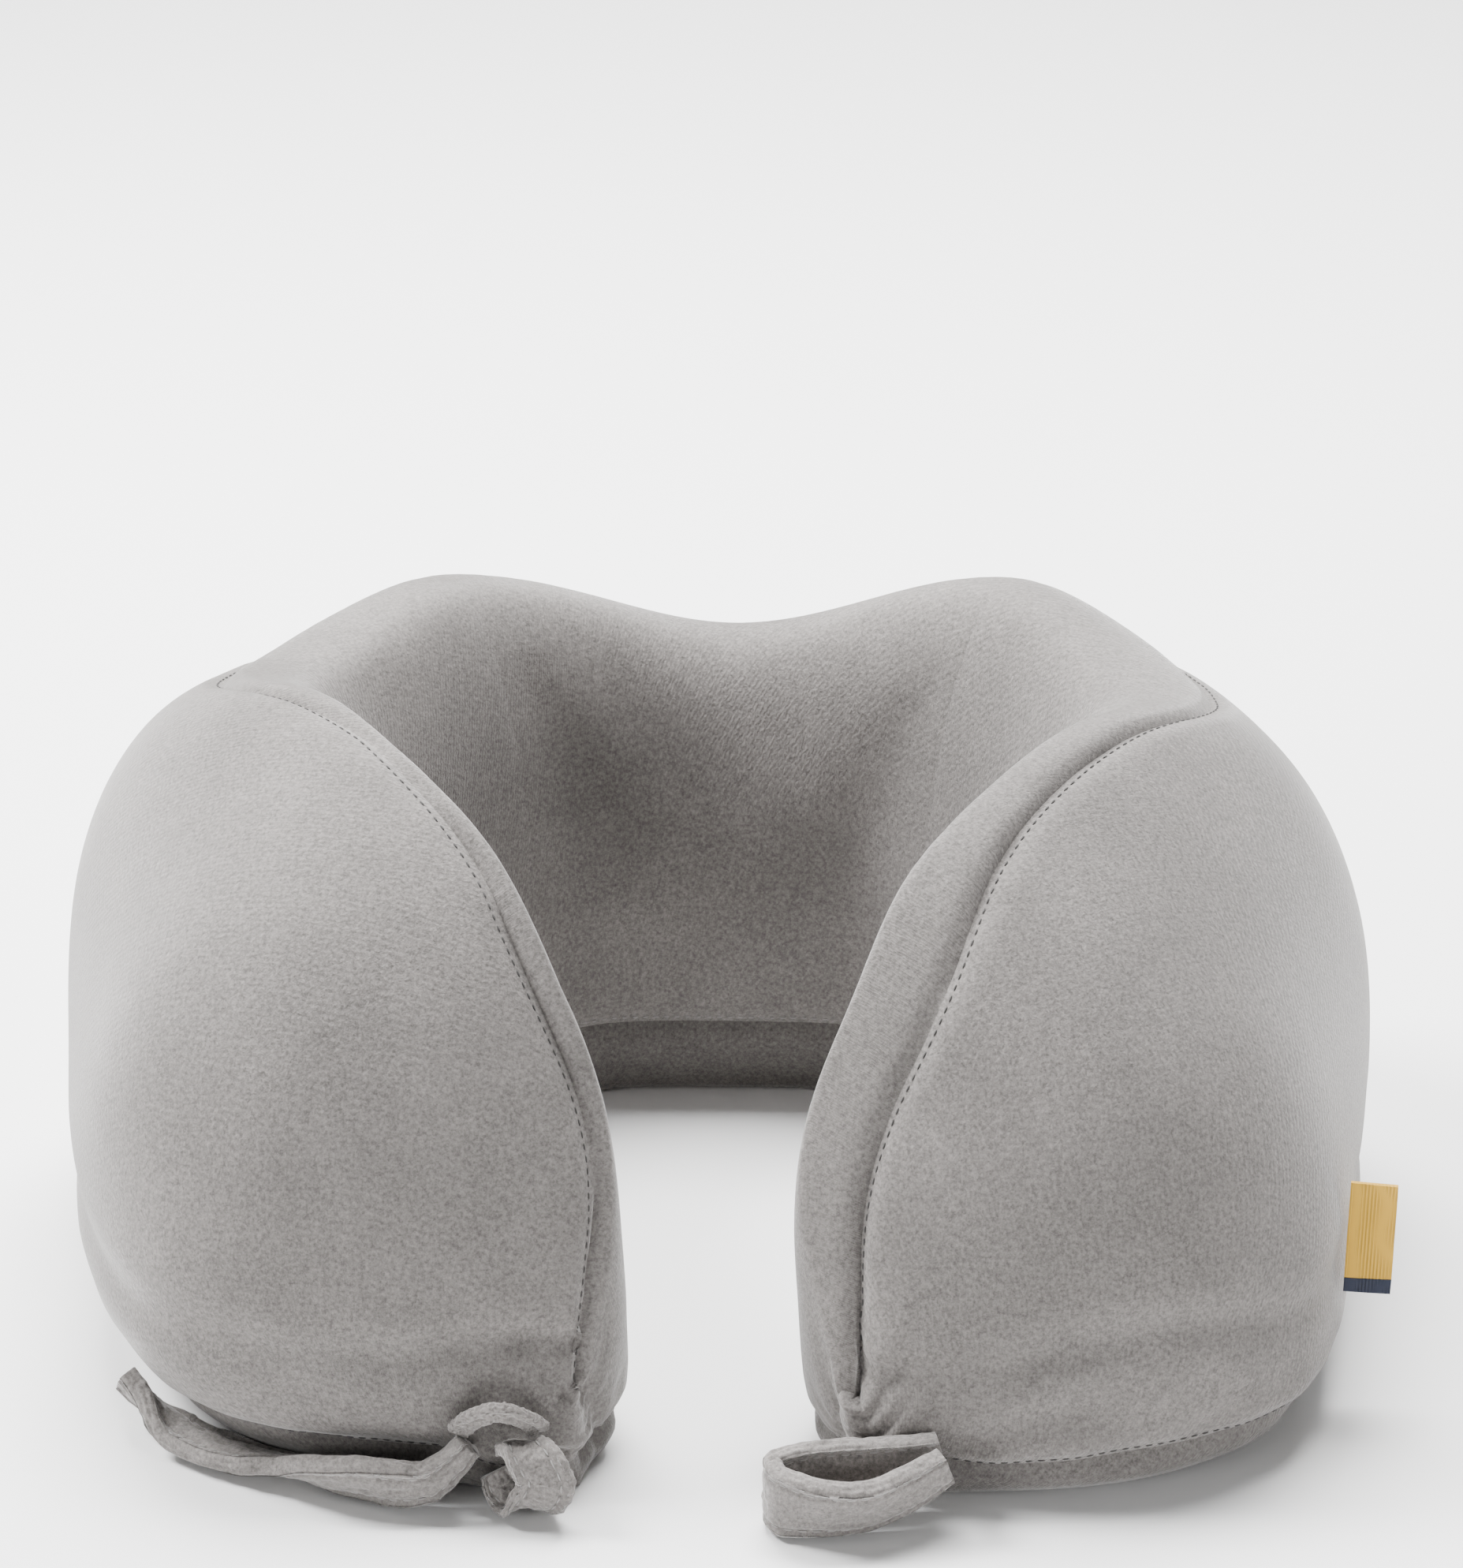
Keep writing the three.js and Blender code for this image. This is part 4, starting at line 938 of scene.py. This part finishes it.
# ------------------------------------------------------------------ straps
def smooth_route(points, count):
    """Centripetal Catmull-Rom curve through the points, sampled evenly in parameter."""
    p = np.array(points, float)
    p = np.concatenate([[2 * p[0] - p[1]], p, [2 * p[-1] - p[-2]]])
    result = []
    for t in np.linspace(0, len(points) - 1, count + 1):
        i = min(int(t), len(points) - 2)
        local = t - i
        a, b, c, d = p[i], p[i + 1], p[i + 2], p[i + 3]
        k0 = max(np.linalg.norm(b - a), 1e-6) ** 0.5
        k1 = max(np.linalg.norm(c - b), 1e-6) ** 0.5
        k2 = max(np.linalg.norm(d - c), 1e-6) ** 0.5
        m1 = ((b - a) / k0 - (c - a) / (k0 + k1) + (c - b) / k1) * k1
        m2 = ((c - b) / k1 - (d - b) / (k1 + k2) + (d - c) / k2) * k1
        h = local
        result.append(
            (2 * h**3 - 3 * h**2 + 1) * b
            + (h**3 - 2 * h**2 + h) * m1
            + (-2 * h**3 + 3 * h**2) * c
            + (h**3 - h**2) * m2
        )
    return np.array(result)


def strap_outline(width, thick):
    """Section of a folded strap: three ridges on each edge, two sewn grooves on each face."""
    edge = []
    for a in np.linspace(0, 1, 15):
        bow = 0.28 * thick * (1 - math.sqrt(max(0, 1 - (2 * a - 1) ** 2)))
        ridge = 0.05 * thick * abs(math.sin(3 * math.pi * a))
        edge.append((width / 2 - bow + ridge - 0.05 * thick, (a - 0.5) * thick * 0.96))
    face = []
    for x in np.linspace(width / 2 - 0.6, -width / 2 + 0.6, 30):
        groove = 0.13 * thick * math.exp(-(((abs(x) - (width / 2 - 2.6)) / 0.55) ** 2))
        crown = 0.03 * thick * (1 - (2 * x / width) ** 2)
        face.append((x, thick / 2 - groove + crown - 0.03 * thick))
    half = edge + face[1:-1]
    return half + [(-x, -y) for x, y in half]


def strap_frames(stops, count, shift=SHIFT):
    places = smooth_route([np.array(stop[0]) for stop in stops], count) + shift
    ways = smooth_route([np.array(stop[1], float) for stop in stops], count)
    ahead = np.gradient(places, axis=0)
    ahead /= np.linalg.norm(ahead, axis=1, keepdims=True)
    ways = ways - ahead * np.sum(ways * ahead, axis=1, keepdims=True)
    ways /= np.linalg.norm(ways, axis=1, keepdims=True)
    flat = np.cross(ways, ahead)
    shares = [stop[2] if len(stop) > 2 else 1 for stop in stops]
    gather = np.interp(np.linspace(0, len(stops) - 1, count + 1), range(len(stops)), shares)
    return places, ahead, ways * gather[:, None], flat


def strap_object(name, stops, width, thick, look, count=150, fuzz=0.16):
    places, ahead, ways, flat = strap_frames(stops, count)
    outline = strap_outline(width, thick)
    n = len(outline)
    rough = smooth_noise((count + 1, n), 3, rng) * fuzz
    grid = np.empty((count + 1, n, 3))
    for j, (a, b) in enumerate(outline):
        scale = 1 + (rough[:, j] / max(math.hypot(a, b), 1e-6))[:, None]
        grid[:, j] = places + (ways * a + flat * b) * scale
    points = [tuple(p * MM) for p in grid.reshape(-1, 3)]
    faces = tube_faces(count + 1, n)
    for end, sign in ((0, 1), (count, -1)):
        centre = len(points)
        points.append(tuple((places[end] - sign * ahead[end] * 0.3) * MM))
        for j in range(n):
            k = (j + 1) % n
            a, b = end * n + j, end * n + k
            faces.append((centre, b, a) if sign > 0 else (centre, a, b))
    item = mesh_object(name, points, faces, look)
    return item, (places, ahead, ways, flat)


def strap_stitches(name, frames, width, thick, body, inset=2.6):
    places, ahead, ways, flat = frames
    spots, directions = [], []
    for across in (width / 2 - inset, -(width / 2 - inset)):
        for up in (thick / 2 - 0.12 * thick, -(thick / 2 - 0.12 * thick)):
            line = places + ways * across + flat * up
            p, d = along_line(line, STRAP_PITCH)
            spots.extend(p)
            directions.extend(d)
    return capsules(name, spots, directions, 1.9, 0.22, pale_thread, body=body)


def under_bulge(place, inset, z):
    cut = Slice(-place)
    return cut.place(1 - inset / cut.width, z)


def out_of_slice(place, rise):
    cut = Slice(-place)
    way = cut.place(1, 5.0) - cut.place(0.5, 5.0)
    way /= np.linalg.norm(way)
    return (way[0], way[1], rise)


LOOP_STOPS = [
    ((47.5, FRONT_FACE - 2.4, 14), (0, 0, 1), 0.52),
    ((40, FRONT_FACE - 3.8, 12.4), (0, 0, 1), 0.72),
    ((30, FRONT_FACE - 4.8, 10.8), (0, 0, 1), 0.92),
    ((20, FRONT_FACE - 5.4, 9.4), (0, 0, 1)),
    ((12.8, FRONT_FACE - 8.2, 8.6), (0, 0, 1)),
    ((14, FRONT_FACE - 13.2, 8.4), (0, 0, 1)),
    ((22, FRONT_FACE - 15.8, 8.2), (0, -0.3, 1)),
    ((32, FRONT_FACE - 15, 8.4), (0, -0.4, 1), 0.9),
    ((41, FRONT_FACE - 11.6, 10.8), (-0.15, -0.3, 1), 0.72),
    ((48.5, FRONT_FACE - 7.9, 14), (-0.15, -0.15, 1), 0.52),
]
LONG_STOPS = [
    (under_bulge(0.745, 0.5, 12), out_of_slice(0.745, 3), 0.7),
    (under_bulge(0.754, 2, 9.2), out_of_slice(0.754, 2), 0.85),
    (under_bulge(0.766, 3.4, 6.4), out_of_slice(0.766, 0.9)),
    (under_bulge(0.782, 4.4, 4), out_of_slice(0.782, 0.2)),
    (under_bulge(0.804, 5, 3.3), out_of_slice(0.804, 0.05)),
    (under_bulge(0.83, 4.4, 3.4), out_of_slice(0.83, 0.1)),
    (under_bulge(0.857, 2, 4.4), out_of_slice(0.857, 0.3)),
    ((-82, FRONT_FACE - 2, 6.4), (-0.2, -0.6, 0.9), 1.1),
    ((-74, FRONT_FACE - 4.4, 7), (-0.1, -0.5, 1), 1.25),
    ((-66.5, FRONT_FACE - 6, 6.8), (0, -0.3, 1), 1.15),
    ((-60.5, FRONT_FACE - 6.2, 7.4), (-0.4, -0.2, 0.9), 0.9),
    ((-55.4, FRONT_FACE - 5.2, 11), (-0.75, -0.2, 0.65), 0.64),
    ((-51.4, FRONT_FACE - 4.2, 15.4), (-0.75, -0.2, 0.65), 0.52),
]
RING_STOPS = [
    ((-43, FRONT_FACE - 3.4, 14.6), (1, -0.1, 0.1), 0.6),
    ((-39.8, FRONT_FACE - 6.9, 15.8), (1, -0.15, 0), 0.85),
    ((-36.6, FRONT_FACE - 9.6, 13.8), (1, -0.15, 0)),
    ((-34.8, FRONT_FACE - 10.4, 10.4), (1, -0.15, 0)),
    ((-36.4, FRONT_FACE - 9.6, 6), (1, -0.15, 0)),
    ((-40, FRONT_FACE - 7, 3.6), (1, -0.1, 0)),
    ((-43.8, FRONT_FACE - 4.6, 4.8), (1, 0, 0.05), 0.8),
    ((-45.8, FRONT_FACE - 3.4, 8.4), (1, 0, 0.1), 0.6),
]
COLLAR_STOPS = [
    ((-53.8, FRONT_FACE - 2.6, 17.8), (-0.9, -0.2, 0.4)),
    ((-50.6, FRONT_FACE - 3.8, 21.4), (-0.5, -0.3, 0.8)),
    ((-45, FRONT_FACE - 4.6, 23.8), (0, -0.3, 1)),
    ((-39.4, FRONT_FACE - 3.8, 21.6), (0.5, -0.3, 0.8)),
    ((-36.5, FRONT_FACE - 2.2, 18.2), (0.9, -0.2, 0.4)),
]
STRAPS = [
    ("loop_strap_right", LOOP_STOPS, STRAP_WIDTH, STRAP_THICK, "loop_right", "strap_loop_right"),
    ("long_strap_left", LONG_STOPS, STRAP_WIDTH * 0.7, STRAP_THICK, "arm_left", "strap_long_left"),
    ("ring_strap_left", RING_STOPS, STRAP_WIDTH * 0.75, STRAP_THICK * 0.68, "ring_left", "strap_ring_left"),
    ("collar_strap_left", COLLAR_STOPS, 5.2, 2.1, "arm_left", "strap_collar_left"),
]
for name, stops, width, thick, body, node in STRAPS:
    item, frames = strap_object(name, stops, width, thick, velour_strap)
    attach(item, body)
    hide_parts(node)
    if width > 6:
        strap_stitches(f"{name}_stitches", frames, width, thick, body)


# ------------------------------------------------------------------ the label
def label_cloth():
    """A folded woven flag: yellow, with a dark end, a little curled, lettering left out."""
    low, high = (np.array(c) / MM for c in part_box("label"))
    joint = next(j for j in frame["record"]["behaviour"]["joints"] if j["name"] == "label_flap")
    root = np.array(joint["pos_m"]) / MM
    middle = (low + high) / 2
    out = np.array([middle[0] - root[0], middle[1] - root[1], 0])
    out /= np.linalg.norm(out)
    sideways = np.array([-out[1], out[0], 0])
    width = 2 * np.linalg.norm((middle - root)[:2]) - 0.4
    tall = high[2] - low[2]
    for name, start, end, colour in (
        ("label_flag_face", 0.13, 1.0, (0.66, 0.38, 0.035)),
        ("label_flag_end", 0.0, 0.125, (0.02, 0.026, 0.05)),
    ):
        u = np.linspace(0, 1, 25)
        v = np.linspace(start, end, 41 if end == 1.0 else 9)
        grid = np.empty((len(v), len(u), 3))
        for i, b in enumerate(v):
            for j, a in enumerate(u):
                curl = 0.9 * math.sin(2.4 * b + 0.6) * a**1.5 + 0.25 * math.sin(9 * b) * a
                spot = root + out * (a * width + 0.2) + sideways * (curl + 0.35)
                spot[2] = low[2] + tall * b
                grid[i, j] = spot
        uv = np.stack(np.meshgrid(u * width * MM, v * tall * MM), -1)
        look = plain_cloth(f"{name}_look", colour, 420.0, 0.6)
        item = grid_object(name, grid, look, uv, 0.9)
        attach(item, "label_flag")
        if name == "label_flag_face":
            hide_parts("label")
    spots, ways = [], []
    for b in np.linspace(0.04, 0.96, 16):
        spots.append(root + out * 1.4 + sideways * 0.75 + np.array([0, 0, low[2] - root[2] + tall * b]))
        ways.append((0, 0, 1))
    capsules("label_stitches", spots, ways, 1.1, 0.16, pale_thread, body="label_flag")


label_cloth()

# ------------------------------------------------------------------ zip
zip_centre = np.array(zip_joint["pos_m"]) / MM
cut_back = Slice(0.0)
ZIP_RADIUS = BACK_RADIUS - cut_back.foot_out * (1 - math.cos(cut_back.foot_angle(cut_back.seam_out)))
HALF_ANGLE = ZIP_END * SWEEP


def around_back(angle, radius, z):
    return zip_centre + np.array([radius * math.sin(angle), radius * math.cos(angle), z])


def coil(name, node, up):
    """One side of the coil: a helix of nylon wire bent round the back."""
    turns = 96
    wire = 0.34
    loop_deep, loop_tall = 0.42, 0.68  # half sizes of one turn
    end_gap = 0.022  # angle left free at each end for the stops
    core = ZIP_RADIUS + 0.85
    middle_z = up * 1.18
    steps_per_turn = 10
    total = turns * steps_per_turn
    ring = 6
    points, line = [], []
    for k in range(total + 1):
        share = k / total
        angle = (HALF_ANGLE - end_gap) * (2 * share - 1)
        phase = 2 * math.pi * turns * share
        radius = core + loop_deep * math.cos(phase)
        line.append(around_back(angle, radius, middle_z + up * loop_tall * math.sin(phase)))
    line = np.array(line)
    ahead = np.gradient(line, axis=0)
    ahead /= np.linalg.norm(ahead, axis=1, keepdims=True)
    for p, w in zip(line, ahead):
        u = np.cross(w, (0, 0, 1.0))
        u /= max(np.linalg.norm(u), 1e-9)
        v = np.cross(w, u)
        for j in range(ring):
            a = 2 * math.pi * j / ring
            points.append(tuple((p + (u * math.cos(a) + v * math.sin(a)) * wire) * MM))
    faces = tube_faces(total + 1, ring)
    faces.append(tuple(reversed(range(ring))))
    faces.append(tuple(total * ring + j for j in range(ring)))
    item = mesh_object(name, points, faces, coil_nylon)
    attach(item, "back")
    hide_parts(node)


coil("zip_teeth_upper", "zip_coil_upper", 1)
coil("zip_teeth_lower", "zip_coil_lower", -1)


def repaint(node, look):
    item = frame["nodes"][node]
    item.data.materials.clear()
    item.data.materials.append(look)


for node in ("zip_tape_upper", "zip_tape_lower"):
    repaint(node, tape_cloth)
for node in ("zip_slider", "zip_bridge", "zip_pull", "zip_stop_left", "zip_stop_right"):
    repaint(node, zip_metal)
